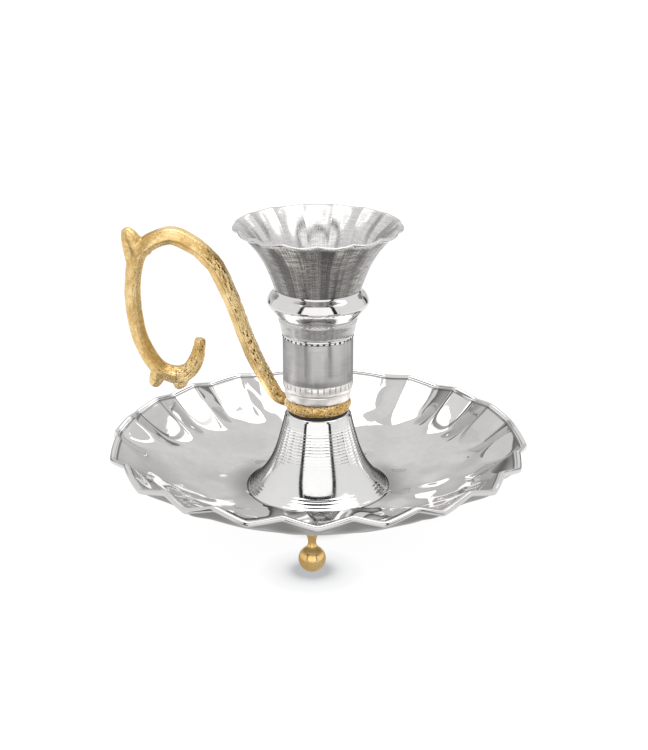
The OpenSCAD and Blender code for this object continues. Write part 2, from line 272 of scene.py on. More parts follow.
class Groups:
    """Shader groups of the finishes, each built once."""

    def __init__(self) -> None:
        """Builds every group."""
        self.grain = self.turned_grain()
        self.smudge = self.smudges()
        self.crust = self.cast_crust()
        self.fold_shade_line = self.painted_fold_line()

    @staticmethod
    def painted_fold_line() -> bpy.types.NodeTree:
        """Line round the rounded lower end and the sides of a pressed panel, along which dark shade is
        painted.

        Returns:
            A group that gives 1 on the line and 0 off it.
        """
        bench, ins, out = group_tree(
            "painted_fold_line", "ShaderNodeTree",
            [("Across", "NodeSocketFloat", 0.0), ("Rise", "NodeSocketFloat", 1.0),
             ("Length", "NodeSocketFloat", 0.36), ("Strength", "NodeSocketFloat", 1.0)],
            [("Value", "NodeSocketFloat")])
        squareness, middle = 3.2, 0.95
        half_width, fades_out = 0.035, 0.115
        down = bench.math("MAXIMUM", bench.math("DIVIDE", bench.math("SUBTRACT", 1.0, ins["Rise"]),
                                                ins["Length"]), 0.0)
        total = bench.math("ADD", bench.math("POWER", ins["Across"], squareness),
                           bench.math("POWER", down, squareness))
        away = bench.math("ABSOLUTE", bench.math(
            "SUBTRACT", bench.math("POWER", total, 1 / squareness), middle))
        line = bench.spread(away, half_width, fades_out, 1.0, 0.0)
        bench.feed(out.inputs["Value"], bench.math("MULTIPLY", line, ins["Strength"]))
        return bench.tree

    @staticmethod
    def turned_grain() -> bpy.types.NodeTree:
        """Fine lines round the Z axis, or along it.

        Returns:
            A group that gives a value from 0 to 1.
        """
        bench, ins, out = group_tree(
            "turned_grain", "ShaderNodeTree",
            [("Position", "NodeSocketVector", None), ("Around", "NodeSocketFloat", 3.0),
             ("Along", "NodeSocketFloat", 1500.0), ("Seed", "NodeSocketFloat", 0.0)],
            [("Value", "NodeSocketFloat")])
        least_radius = 1e-4
        place = bench.split(ins["Position"])
        radius = bench.math("MAXIMUM", bench.vector(
            "LENGTH", bench.combine(place.outputs[0], place.outputs[1], 0.0)).outputs["Value"], least_radius)
        x = bench.math("MULTIPLY", bench.math("DIVIDE", place.outputs[0], radius), ins["Around"])
        y = bench.math("MULTIPLY", bench.math("DIVIDE", place.outputs[1], radius), ins["Around"])
        z = bench.math("MULTIPLY", place.outputs[2], ins["Along"])
        bench.feed(out.inputs["Value"], bench.noise(bench.combine(x, y, z), 1.0, 2.0, ins["Seed"]))
        return bench.tree

    @staticmethod
    def smudges() -> bpy.types.NodeTree:
        """Soft patches of two sizes, for roughness and tone.

        Returns:
            A group that gives a value from 0 to 1.
        """
        bench, ins, out = group_tree(
            "smudges", "ShaderNodeTree",
            [("Position", "NodeSocketVector", None), ("Scale", "NodeSocketFloat", 60.0),
             ("Seed", "NodeSocketFloat", 0.0)],
            [("Value", "NodeSocketFloat")])
        finer, broad_share, fine_share = 7.0, 0.7, 0.3
        broad = bench.noise(ins["Position"], ins["Scale"], 3.0, ins["Seed"])
        fine = bench.noise(ins["Position"], bench.math("MULTIPLY", ins["Scale"], finer), 2.0, ins["Seed"])
        mixed = bench.math("ADD", bench.math("MULTIPLY", broad, broad_share),
                           bench.math("MULTIPLY", fine, fine_share))
        bench.feed(out.inputs["Value"], bench.spread(mixed, 0.35, 0.65))
        return bench.tree

    @staticmethod
    def cast_crust() -> bpy.types.NodeTree:
        """Grainy skin of a casting: lumps with small pits between them.

        Returns:
            A group that gives a height and a mask of the pits.
        """
        bench, ins, out = group_tree(
            "cast_crust", "ShaderNodeTree",
            [("Position", "NodeSocketVector", None), ("Scale", "NodeSocketFloat", 700.0),
             ("Roughness", "NodeSocketFloat", 1.0), ("Seed", "NodeSocketFloat", 0.0)],
            [("Height", "NodeSocketFloat"), ("Pits", "NodeSocketFloat")])
        closer, other_seed = 1.45, 5.0
        pit_edge, pit_floor = 0.565, 0.635
        lumps = bench.noise(ins["Position"], ins["Scale"], 3.0, ins["Seed"])
        holes = bench.noise(ins["Position"], bench.math("MULTIPLY", ins["Scale"], closer), 3.0,
                            bench.math("ADD", ins["Seed"], other_seed))
        pits = bench.math("MULTIPLY", bench.spread(holes, pit_edge, pit_floor), bench.spread(
            ins["Roughness"], 0.15, 1.0, 0.08, 1.0))
        height = bench.math("SUBTRACT", bench.math("MULTIPLY", lumps, ins["Roughness"]), pits)
        bench.feed(out.inputs["Height"], height)
        bench.feed(out.inputs["Pits"], pits)
        return bench.tree


# Finishes


@dataclass(frozen=True)
class Steel:
    """Polished, turned or brushed steel.

    Attributes:
        name: Name of the material.
        tone: Base colour.
        shade: Colour of its duller patches.
        gloss: Roughness from its brightest to its dullest patch.
        grain: How it was worked.
        cut: Depth of the grain, in metres.
        pitch: Fine lines of the grain per metre.
        pull: How far turning round the Z axis draws its gloss out along that axis.
        scored: Strength of the darker lines that the tool left.
        painted_streaks: Strength of the broad darker streaks up a turned wall, partly the tone of the
            brushing and partly painted dark reflections.
        rings: Painted highlights on the crests of the turned rings: lowest and highest place and pitch, in
            metres.
        edge: Share of its gloss that is left near grazing sight; below 1 it is a painted dark edge that
            stands in for dark reflections at the outline.
        fold_shade: Whether it is the fluted sheet, with painted shade in its folds, beside the bell and up
            its front wall, and a painted highlight on its bead.
        seed: Fixed seed of its patterns.
    """

    name: str
    tone: Colour
    shade: Colour
    gloss: Pair
    grain: Grain = Grain.MIRROR
    cut: float = 0.0
    pitch: float = 2600.0
    pull: float = 0.0
    scored: float = 0.0
    painted_streaks: float = 0.0
    rings: tuple[float, ...] = ()
    edge: float = 1.0
    fold_shade: bool = False
    seed: float = 0.0

    def build(self, groups: Groups) -> bpy.types.Material:
        """Makes the material.

        Args:
            groups: The shader groups.

        Returns:
            The material.
        """
        bench, shader, place = start_material(self.name)
        dull, height = self.worked(bench, groups, place)
        tone = self.marked(bench, groups, place, blend_colour(bench, dull, self.tone, self.shade))
        if self.fold_shade:
            # paints shade beside the bell, up the front wall and in the folds, and a highlight on the bead
            tone = self.polished(bench, groups, place, tone)
        bench.feed(shader.inputs["Roughness"], bench.spread(dull, 0.2, 0.8, *self.gloss, smooth=False))
        bench.feed(shader.inputs["Base Color"], tone)
        shader.inputs["Metallic"].default_value = 1.0
        # painted shade: a dark Specular Tint darkens the reflections near the outline
        shader.inputs["Specular Tint"].default_value = (self.edge, self.edge, self.edge, 1.0)
        if self.pull > 0.0:
            shader.inputs["Anisotropic"].default_value = self.pull
            shader.inputs["Anisotropic Rotation"].default_value = 0.25
            bench.feed(shader.inputs["Tangent"], bench.add(
                "ShaderNodeTangent", direction_type="RADIAL", axis="Z").outputs[0])
        if self.grain is not Grain.MIRROR:
            bump(bench, shader, height, self.cut)
        return bench.material

    def worked(self, bench: Bench, groups: Groups,
               place: Value) -> tuple[bpy.types.NodeSocket, bpy.types.NodeSocket]:
        """Lays the grain of the tool over soft patches.

        Args:
            bench: The material's bench.
            groups: The shader groups.
            place: The coordinates that the patterns read.

        Returns:
            How dull the surface is, and the height of its grain.
        """
        patch_share, fine_share = 0.6, 0.4
        round_share, down_share = 0.55, 0.45
        patch = place_group(bench, groups.smudge, Position=place, Scale=45.0, Seed=self.seed)
        fine = place_group(bench, groups.grain, Position=place, Around=5.0, Along=self.pitch, Seed=self.seed)
        dull = bench.math("ADD", bench.math("MULTIPLY", patch.outputs[0], patch_share),
                          bench.math("MULTIPLY", fine.outputs[0], fine_share))
        if self.grain is not Grain.CROSSED:
            return dull, fine.outputs[0]
        down = place_group(bench, groups.grain, Position=place, Around=58.0, Along=26.0,
                           Seed=self.seed + 3.0)
        height = bench.math("ADD", bench.math("MULTIPLY", fine.outputs[0], round_share),
                            bench.math("MULTIPLY", down.outputs[0], down_share))
        return bench.spread(height, 0.41, 0.59), height

    def marked(self, bench: Bench, groups: Groups, place: Value, tone: Value) -> Value:
        """Adds the darker lines that turning left, broad dark streaks that are partly painted dark
        reflections, and painted highlights on the turned rings.

        Args:
            bench: The material's bench.
            groups: The shader groups.
            place: The coordinates that the patterns read.
            tone: The colour so far.

        Returns:
            The colour with its marks.
        """
        if self.scored > 0.0:
            score = place_group(bench, groups.grain, Position=place, Around=1.1, Along=1050.0,
                                Seed=self.seed + 9.0)
            share = bench.spread(score.outputs[0], 0.52, 0.66, 0.0, self.scored)
            tone = blend_colour(bench, share, tone, SCORED)
        # painted reflection: broad dark streaks up the wall, partly the brushing's own tone
        if self.painted_streaks > 0.0:
            streak_shade = place_group(bench, groups.grain, Position=place, Around=2.6, Along=2.0,
                                 Seed=self.seed + 6.0)
            share = bench.spread(streak_shade.outputs[0], 0.50, 0.60, 0.0, self.painted_streaks)
            tone = blend_colour(bench, share, tone, PAINTED_STREAK_SHADE)
        if self.rings:
            # painted highlight: white on the crests of the bell's turned rings
            tone = blend_colour(bench, self.painted_ring_highlights(bench, place), tone, WHITE)
        return tone

    def painted_ring_highlights(self, bench: Bench, place: Value) -> bpy.types.NodeSocket:
        """Finds the painted highlights on the turned rings, which fade towards the ends of their band.

        Args:
            bench: The material's bench.
            place: The coordinates that the rings read.

        Returns:
            The share of their painted white.
        """
        low, high, pitch = self.rings
        fade_in, fade_out, strength = 0.008, 0.002, 0.85
        level = bench.split(place).outputs[2]
        wave = bench.math("COSINE", bench.math(
            "MULTIPLY", bench.math("SUBTRACT", level, low), math.tau / pitch))
        band = bench.math("MULTIPLY", bench.spread(level, low, low + fade_in),
                          bench.spread(level, high - fade_out, high, 1.0, 0.0))
        return bench.math("MULTIPLY", bench.spread(wave, 0.1, 0.95, 0.0, strength), band)

    def polished(self, bench: Bench, groups: Groups, place: Value, tone: Value) -> bpy.types.NodeSocket:
        """Paints light and shade on a fluted sheet: painted shade beside the bell and up the front wall,
        painted dark lines along its folds and a painted highlight on its bead.

        Args:
            bench: The material's bench.
            groups: The shader groups.
            place: The coordinates of the sheet.
            tone: The colour so far.

        Returns:
            The colour with its painted light and shade.
        """
        # painted shade: darker beside the bell's foot, a painted reflection of the bell, and darker up the
        # front wall
        tone = blend_colour(bench, self.painted_shade(bench, place), tone, PAINTED_SHADE)
        # painted shade: dark lines along the folds of the pressed panels
        folds = place_group(bench, groups.fold_shade_line, **{
            label: bench.add("ShaderNodeAttribute", attribute_name=name).outputs["Fac"]
            for label, name in (("Across", "panel"), ("Rise", "rise"), ("Strength", "fold_shade"))})
        return self.painted_bead_light(bench, blend_colour(bench, folds.outputs[0], tone, PAINTED_FOLD_SHADE))

    def painted_shade(self, bench: Bench, place: Value) -> bpy.types.NodeSocket:
        """Finds where shade is painted on the sheet: a painted reflection of the bell beside the foot that
        stands on it, and darker up its front wall.

        Args:
            bench: The material's bench.
            place: The coordinates of the sheet.

        Returns:
            The share of its painted shade.
        """
        beside_foot, up_wall = (0.0295, 0.042), (0.044, 0.076)
        spot = bench.split(place)
        radius = bench.vector("LENGTH", bench.combine(spot.outputs[0], spot.outputs[1], 0.0)).outputs["Value"]
        sideways = bench.math("DIVIDE", bench.math("ABSOLUTE", spot.outputs[0]), radius)
        forward = bench.math("DIVIDE", bench.math("MULTIPLY", spot.outputs[1], -1.0), radius)
        foot = bench.math("MULTIPLY", bench.spread(radius, *beside_foot, 0.75, 0.0), bench.spread(
            sideways, 0.6, 0.97))
        wall = bench.math("MULTIPLY", bench.spread(radius, *up_wall, 0.0, 0.74), bench.spread(
            forward, -0.1, 0.75))
        return bench.math("MAXIMUM", foot, wall)

    def painted_bead_light(self, bench: Bench, tone: Value) -> bpy.types.NodeSocket:
        """Paints a highlight on the bead of the rim and a line of painted shade in the groove beside it.

        Args:
            bench: The material's bench.
            tone: The colour so far.

        Returns:
            The colour with the painted highlight and shade.
        """
        strength = 0.85
        groove_start, groove_end, bead_start = (0.962, 0.974), (0.982, 0.988), (0.984, 0.996)
        rise = bench.add("ShaderNodeAttribute", attribute_name="rise").outputs["Fac"]
        groove = bench.math("MULTIPLY", bench.spread(rise, *groove_start, 0.0, strength),
                            bench.spread(rise, *groove_end, 1.0, 0.0))
        # painted shade: dark line in the groove beside the bead
        tone = blend_colour(bench, groove, tone, PAINTED_STREAK_SHADE)
        # painted highlight: lighter tone along the bead
        return blend_colour(bench, bench.spread(rise, *bead_start, 0.0, strength), tone, PAINTED_BEAD_HIGHLIGHT)


@dataclass(frozen=True)
class Gold:
    """Gold plate over a casting or a turned piece.

    Attributes:
        name: Name of the material.
        bright: Colour of the high places.
        deep: Colour of the low places.
        pit: Colour inside the pits.
        gloss: Roughness from the smooth to the rough places.
        crust: Depth of the cast skin, in metres.
        scale: Lumps per metre of the cast skin.
        masked: Whether the piece's own attribute "crust" says where the skin is rough.
        seed: Fixed seed of its patterns.
        even: Roughness of the skin where no attribute gives it.
        patches: Patches of tone per metre.
    """

    name: str
    bright: Colour
    deep: Colour
    pit: Colour
    gloss: Pair
    crust: float
    scale: float
    masked: bool = False
    seed: float = 0.0
    even: float = 0.1
    patches: float = 130.0

    def build(self, groups: Groups) -> bpy.types.Material:
        """Makes the material.

        Args:
            groups: The shader groups.

        Returns:
            The material.
        """
        bench, shader, place = start_material(self.name)
        rough: Value = self.even
        if self.masked:
            rough = bench.add("ShaderNodeAttribute", attribute_name="crust").outputs["Fac"]
            place = bench.add("ShaderNodeAttribute", attribute_name="lay").outputs["Vector"]
        skin = place_group(bench, groups.crust, Position=place, Scale=self.scale, Roughness=rough,
                           Seed=self.seed)
        patch = place_group(bench, groups.smudge, Position=place, Scale=self.patches, Seed=self.seed)
        base = blend_colour(bench, patch.outputs[0], self.bright, self.deep)
        bench.feed(shader.inputs["Base Color"], blend_colour(bench, skin.outputs["Pits"], base, self.pit))
        bench.feed(shader.inputs["Roughness"],
                   bench.spread(patch.outputs[0], 0.0, 1.0, *self.gloss, smooth=False))
        shader.inputs["Metallic"].default_value = 1.0
        bump(bench, shader, skin.outputs["Height"], self.crust)
        return bench.material


@dataclass(frozen=True)
class Fibre:
    """Pressed black fibre of a washer.

    Attributes:
        name: Name of the material.
        tone: Base colour.
        speck: Colour of its lighter fibres.
        gloss: Roughness from its smooth to its rough places.
        fibres: Fibres per metre.
        fuzz: Depth of its surface, in metres.
        seed: Fixed seed of its pattern.
    """

    name: str
    tone: Colour
    speck: Colour
    gloss: Pair = (0.7, 0.9)
    fibres: float = 900.0
    fuzz: float = 0.00004
    seed: float = 2.0

    def build(self, groups: Groups) -> bpy.types.Material:
        """Makes the material.

        Args:
            groups: The shader groups.

        Returns:
            The material.
        """
        bench, shader, place = start_material(self.name)
        patch = place_group(bench, groups.smudge, Position=place, Scale=self.fibres, Seed=self.seed)
        bench.feed(shader.inputs["Base Color"], blend_colour(bench, patch.outputs[0], self.tone, self.speck))
        bench.feed(shader.inputs["Roughness"], bench.spread(patch.outputs[0], 0.0, 1.0, *self.gloss))
        bump(bench, shader, patch.outputs[0], self.fuzz)
        return bench.material


class MaterialBench(Bench):
    """A bench that also keeps its material."""

    def __init__(self, material: bpy.types.Material) -> None:
        """Keeps the material and its tree.

        Args:
            material: The material that gets the nodes.
        """
        super().__init__(material.node_tree)
        self.material = material


def start_material(name: str) -> tuple[MaterialBench, bpy.types.Node, bpy.types.NodeSocket]:
    """Starts a material.

    Args:
        name: Its name.

    Returns:
        Its bench, its shader and the object's own coordinates.
    """
    material = bpy.data.materials.new(name)
    material.use_nodes = True
    bench = MaterialBench(material)
    shader = next(n for n in material.node_tree.nodes if n.type == "BSDF_PRINCIPLED")
    return bench, shader, bench.add("ShaderNodeTexCoord").outputs["Object"]


def place_group(bench: Bench, tree: bpy.types.NodeTree, **values: Value) -> bpy.types.Node:
    """Places a shader group.

    Args:
        bench: The material's bench.
        tree: The group.
        values: Its inputs by name.

    Returns:
        The group's node.
    """
    node = bench.add("ShaderNodeGroup", node_tree=tree)
    for name, value in values.items():
        bench.feed(node.inputs[name], value)
    return node


def blend_colour(bench: Bench, share: Value, first: Value, second: Value) -> bpy.types.NodeSocket:
    """Mixes two colours.

    Args:
        bench: The material's bench.
        share: Share of the second colour, from 0 to 1.
        first: First colour.
        second: Second colour.

    Returns:
        The mixed colour.
    """
    node = bench.add("ShaderNodeMix", data_type="RGBA")
    bench.feed(node.inputs["Factor"], share)
    for socket, colour in ((node.inputs[6], first), (node.inputs[7], second)):
        bench.feed(socket, (*colour, 1.0) if isinstance(colour, tuple) else colour)
    return node.outputs[2]


def bump(bench: Bench, shader: bpy.types.Node, height: Value, depth: float) -> None:
    """Drives the shader's normal from a height.

    Args:
        bench: The material's bench.
        shader: Its shader.
        height: The height, from 0 to 1.
        depth: Size of that height, in metres.
    """
    node = bench.add("ShaderNodeBump")
    node.inputs["Distance"].default_value = depth
    bench.feed(node.inputs["Height"], height)
    bench.feed(shader.inputs["Normal"], node.outputs[0])


FINISHES: tuple[Steel | Gold | Fibre, ...] = (
    # painted shade beside the bell, up the front wall and in the folds, and a painted highlight on the bead
    Steel("mirror_steel", (0.66, 0.65, 0.64), (0.54, 0.53, 0.52), (0.03, 0.07), fold_shade=True, seed=1.0),
    # painted highlights on its turned rings and a painted dark edge
    Steel("spun_steel", (0.76, 0.755, 0.75), (0.70, 0.695, 0.69), (0.05, 0.12), Grain.LATHE, 0.000003,
          rings=(0.03223, 0.0492, 0.00125), edge=0.12, seed=2.0),
    Steel("bright_steel", (0.72, 0.71, 0.70), (0.66, 0.65, 0.64), (0.06, 0.13), Grain.LATHE, 0.000003,
          seed=8.0),
    Steel("pale_steel", (0.84, 0.81, 0.785), (0.76, 0.735, 0.71), (0.28, 0.38), Grain.LATHE, 0.000003,
          seed=11.0),
    Steel("soft_steel", (0.61, 0.605, 0.595), (0.48, 0.475, 0.465), (0.18, 0.28), Grain.LATHE, 0.000008,
          seed=9.0),
    # painted dark streaks and a painted dark edge
    Steel("satin_steel", (0.58, 0.57, 0.56), (0.49, 0.48, 0.47), (0.34, 0.40), Grain.LATHE, 0.000010,
          pull=0.95, scored=0.12, painted_streaks=0.3, edge=0.6, seed=5.0),
    # painted shade: darker tone and painted dark streaks stand in for the dark reflections on the trumpet's
    # outside
    Steel("shade_painted_crossed_steel", (0.47, 0.455, 0.435), (0.22, 0.21, 0.20), (0.26, 0.34), Grain.CROSSED, 0.000014,
          pitch=1900.0, pull=0.85, scored=0.3, painted_streaks=0.72, seed=12.0),
    Steel("inner_steel", (0.66, 0.655, 0.65), (0.53, 0.52, 0.51), (0.20, 0.30), Grain.CROSSED, 0.00001,
          pitch=1800.0, seed=6.0),
    # painted shade: near-black steel for the row of dots under the ferrule
    Steel("dot_shade_steel", (0.10, 0.097, 0.095), (0.06, 0.058, 0.055), (0.3, 0.45), seed=7.0),
    Steel("fastener_steel", (0.42, 0.42, 0.42), (0.35, 0.35, 0.35), (0.12, 0.24), Grain.LATHE, 0.00001,
          seed=5.0),
    Gold("cast_gold", (0.93, 0.70, 0.36), (0.60, 0.37, 0.115), (0.12, 0.06, 0.016), (0.20, 0.36), 0.00050,
         900.0, masked=True, seed=1.0),
    Gold("turned_gold", (0.92, 0.66, 0.30), (0.78, 0.49, 0.16), (0.5, 0.28, 0.07), (0.14, 0.24), 0.000025,
         1200.0, seed=3.0),
    Fibre("black_fibre", (0.02, 0.02, 0.02), (0.05, 0.048, 0.045)))


# Geometry node trees


class Trees:
    """Geometry node trees of the fluted sheets and of the rows of marks."""

    def __init__(self) -> None:
        """Builds both trees."""
        self.flutes = self.fluted_sheet()
        self.marks = self.row_of_marks()

    @staticmethod
    def fluted_sheet() -> bpy.types.NodeTree:
        """Pushes a turned sheet into flutes and dents it with a hammer.

        The mesh carries six attributes: push, the way in which a point moves;
        phase, its place in a flute from 0 to 1; rise, its share of the wall; start,
        the rise at which the flute begins; deep, the flute's share of the full depth;
        and dent, how far the hammer reached it.

        Returns:
            The tree.
        """
        bench, ins, out = group_tree(
            "fluted_sheet", "GeometryNodeTree",
            [("Geometry", "NodeSocketGeometry", None), ("Depth", "NodeSocketFloat", 0.003),
             ("Crispness", "NodeSocketFloat", 0.98), ("Softness", "NodeSocketFloat", 0.98),
             ("Scalloped", "NodeSocketFloat", 0.0), ("Run", "NodeSocketFloat", 0.45),
             ("Ease", "NodeSocketFloat", 1.0), ("Dent Depth", "NodeSocketFloat", 0.0),
             ("Dents per Metre", "NodeSocketFloat", 100.0), ("Seed", "NodeSocketFloat", 0.0),
             ("Material", "NodeSocketMaterial", None)],
            [("Geometry", "NodeSocketGeometry")])

        def read(name: str, kind: str = "FLOAT") -> bpy.types.NodeSocket:
            """Reads one attribute of the mesh.

            Args:
                name: Its name.
                kind: Its data type.

            Returns:
                Its value.
            """
            node = bench.add("GeometryNodeInputNamedAttribute", data_type=kind)
            node.inputs["Name"].default_value = name
            return node.outputs[0]

        phase = read("phase")
        rise = bench.math("DIVIDE", bench.math("SUBTRACT", read("rise"), read("start")), ins["Run"],
                          clamp=True)
        fade = bench.math("POWER", bench.math("SINE", bench.math("MULTIPLY", rise, math.pi / 2)), ins["Ease"])
        keen = bench.spread(rise, 0.0, 1.0, ins["Softness"], ins["Crispness"], smooth=False)
        wave = bench.math("COSINE", bench.math("MULTIPLY", phase, math.tau))
        crisp = bench.math("ARCSINE", bench.math("MULTIPLY", wave, keen))
        zigzag = bench.math("DIVIDE", crisp, bench.math("ARCSINE", keen))
        arch = bench.math("SUBTRACT", 1.0, bench.math("ABSOLUTE", bench.math(
            "SINE", bench.math("MULTIPLY", phase, math.pi))))
        half = bench.math("MULTIPLY", zigzag, -0.5)
        shape = bench.math("ADD", bench.math("MULTIPLY", half, bench.math("SUBTRACT", 1.0, ins["Scalloped"])),
                           bench.math("MULTIPLY", arch, ins["Scalloped"]))
        lift = bench.math("MULTIPLY", bench.math("MULTIPLY", shape, fade), bench.math(
            "MULTIPLY", read("deep"), ins["Depth"]))
        cells = bench.add("ShaderNodeTexVoronoi", voronoi_dimensions="4D", feature="SMOOTH_F1")
        bench.feed(cells.inputs["Vector"], bench.add("GeometryNodeInputPosition").outputs[0])
        bench.feed(cells.inputs["W"], ins["Seed"])
        bench.feed(cells.inputs["Scale"], ins["Dents per Metre"])
        cells.inputs["Smoothness"].default_value = 1.0
        dent = bench.math("MULTIPLY", bench.math("MULTIPLY", cells.outputs["Distance"], ins["Dent Depth"]),
                          read("dent"))
        total = bench.math("ADD", lift, dent)
        move = bench.add("GeometryNodeSetPosition")
        bench.feed(move.inputs["Geometry"], ins["Geometry"])
        bench.feed(move.inputs["Offset"], bench.vector(
            "SCALE", read("push", "FLOAT_VECTOR"), total).outputs[0])
        finish_tree(bench, move.outputs[0], ins["Material"], out)
        return bench.tree

    @staticmethod
    def row_of_marks() -> bpy.types.NodeTree:
        """Sets one mark many times round the Z axis.

        Returns:
            The tree.
        """
        bench, ins, out = group_tree(
            "row_of_marks", "GeometryNodeTree",
            [("Mark", "NodeSocketGeometry", None), ("Count", "NodeSocketInt", 38),
             ("Radius", "NodeSocketFloat", 0.015), ("Height", "NodeSocketFloat", 0.06),
             ("Size Jitter", "NodeSocketFloat", 0.1), ("Seed", "NodeSocketInt", 0),
             ("Material", "NodeSocketMaterial", None)],
            [("Geometry", "NodeSocketGeometry")])
        line = bench.add("GeometryNodeMeshLine", mode="OFFSET")
        bench.feed(line.inputs["Count"], ins["Count"])
        bench.feed(line.inputs["Offset"], (0.0, 0.0, 0.0))
        turn = bench.math("DIVIDE", bench.math(
            "MULTIPLY", bench.add("GeometryNodeInputIndex").outputs[0], math.tau), ins["Count"])
        place = bench.combine(
            bench.math("MULTIPLY", bench.math("SINE", turn), ins["Radius"]),
            bench.math("MULTIPLY", bench.math("COSINE", turn), bench.math("MULTIPLY", ins["Radius"], -1.0)),
            ins["Height"])
        ring = bench.add("GeometryNodeSetPosition")
        bench.feed(ring.inputs["Geometry"], line.outputs[0])
        bench.feed(ring.inputs["Position"], place)
        jitter = bench.add("FunctionNodeRandomValue", data_type="FLOAT")
        bench.feed(jitter.inputs[2], bench.math("SUBTRACT", 1.0, ins["Size Jitter"]))
        bench.feed(jitter.inputs[3], bench.math("ADD", 1.0, ins["Size Jitter"]))
        bench.feed(jitter.inputs["Seed"], ins["Seed"])
        size = bench.combine(jitter.outputs[1], jitter.outputs[1], jitter.outputs[1])
        spin = bench.add("FunctionNodeEulerToRotation")
        bench.feed(spin.inputs[0], bench.combine(0.0, 0.0, turn))
        spread = bench.add("GeometryNodeInstanceOnPoints")
        bench.feed(spread.inputs["Points"], ring.outputs[0])
        bench.feed(spread.inputs["Instance"], ins["Mark"])
        bench.feed(spread.inputs["Rotation"], spin.outputs[0])
        bench.feed(spread.inputs["Scale"], size)
        finish_tree(bench, spread.outputs[0], ins["Material"], out)
        return bench.tree


def finish_tree(bench: Bench, shape: bpy.types.NodeSocket, material: bpy.types.NodeSocket,
                out: bpy.types.Node) -> None:
    """Ends a tree in Realize Instances and Set Material.

    Args:
        bench: The tree's bench.
        shape: What the tree has made.
        material: The material that it gets.
        out: The tree's Group Output node.
    """
    real = bench.add("GeometryNodeRealizeInstances")
    bench.feed(real.inputs[0], shape)
    dress = bench.add("GeometryNodeSetMaterial")
    bench.feed(dress.inputs["Geometry"], real.outputs[0])
    bench.feed(dress.inputs["Material"], material)
    bench.feed(out.inputs[0], dress.outputs[0])


def grow(piece: bpy.types.Object, tree: bpy.types.NodeTree, **values: object) -> None:
    """Runs a tree on a piece and keeps the plain mesh that comes out.

    Args:
        piece: The piece that the tree reads.
        tree: The tree.
        values: Its inputs by name, with spaces written as underscores.
    """
    modifier = piece.modifiers.new(tree.name, "NODES")
    modifier.node_group = tree
    idents = {s.name: s.identifier for s in tree.interface.items_tree
              if s.item_type == "SOCKET" and s.in_out == "INPUT"}
    for name, value in values.items():
        modifier[idents[name.replace("_", " ")]] = value
    settle(piece)


def settle(piece: bpy.types.Object) -> None:
    """Replaces a piece's mesh with what its modifiers make of it.

    Args:
        piece: The piece, whose modifiers are removed.
    """
    bpy.context.view_layer.update()
    mesh = bpy.data.meshes.new_from_object(piece.evaluated_get(bpy.context.evaluated_depsgraph_get()))
    old = piece.data
    piece.modifiers.clear()
    piece.data = mesh
    mesh.name = piece.name
    bpy.data.meshes.remove(old)
    mesh.polygons.foreach_set("use_smooth", [True] * len(mesh.polygons))


# Mesh making


def place_object(name: str, data: bpy.types.ID) -> bpy.types.Object:
    """Puts a new object into the scene.

    Args:
        name: Name of the object.
        data: Its mesh, lamp or camera.

    Returns:
        The new object.
    """
    thing = bpy.data.objects.new(name, data)
    bpy.context.scene.collection.objects.link(thing)
    return thing


def add_piece(name: str, points: Sequence, faces: Sequence[Sequence[int]]) -> bpy.types.Object:
    """Makes a smooth-shaded mesh object whose faces point outwards.

    Args:
        name: Name of the piece.
        points: Its corners, in metres.
        faces: Corner numbers of each face.

    Returns:
        The new object.
    """
    mesh = bpy.data.meshes.new(name)
    mesh.from_pydata([tuple(p) for p in points], [], faces)
    work = bmesh.new()
    work.from_mesh(mesh)
    bmesh.ops.recalc_face_normals(work, faces=work.faces)
    work.to_mesh(mesh)
    work.free()
    mesh.polygons.foreach_set("use_smooth", [True] * len(mesh.polygons))
    return place_object(name, mesh)


def ring_faces(rows: int, around: int, closed: bool) -> list[tuple[int, int, int, int]]:
    """Faces between rings of points.

    Args:
        rows: Number of rings.
        around: Points in each ring.
        closed: Whether the last ring joins the first.

    Returns:
        Four corner numbers for each face.
    """
    i, j = np.meshgrid(np.arange(rows if closed else rows - 1), np.arange(around), indexing="ij")
    k, m = (j + 1) % around, (i + 1) % rows
    quads = np.stack([i * around + j, m * around + j, m * around + k, i * around + k], axis=-1)
    return [tuple(q) for q in quads.reshape(-1, 4).tolist()]


def turn_rings(radii: np.ndarray, heights: np.ndarray, around: int) -> np.ndarray:
    """Points of a profile turned round the Z axis.

    Args:
        radii: Radius of each ring.
        heights: Height of each ring.
        around: Points in each ring.

    Returns:
        An array of rings, points and coordinates.
    """
    turns = np.arange(around) * math.tau / around
    points = np.empty((len(radii), around, 3))
    points[..., 0] = radii[:, None] * np.sin(turns)
    points[..., 1] = -radii[:, None] * np.cos(turns)
    points[..., 2] = heights[:, None]
    return points


def capped_faces(rings: int, around: int) -> list[tuple[int, ...]]:
    """Faces of a turned solid, whose two end points follow its rings.

    Args:
        rings: Number of rings.
        around: Points in each ring.

    Returns:
        The faces of its wall and of its two ends.
    """
    faces = list(ring_faces(rings, around, False))
    low, last = rings * around, (rings - 1) * around
    for j in range(around):
        k = (j + 1) % around
        faces += [(low, j, k), (low + 1, last + k, last + j)]
    return faces


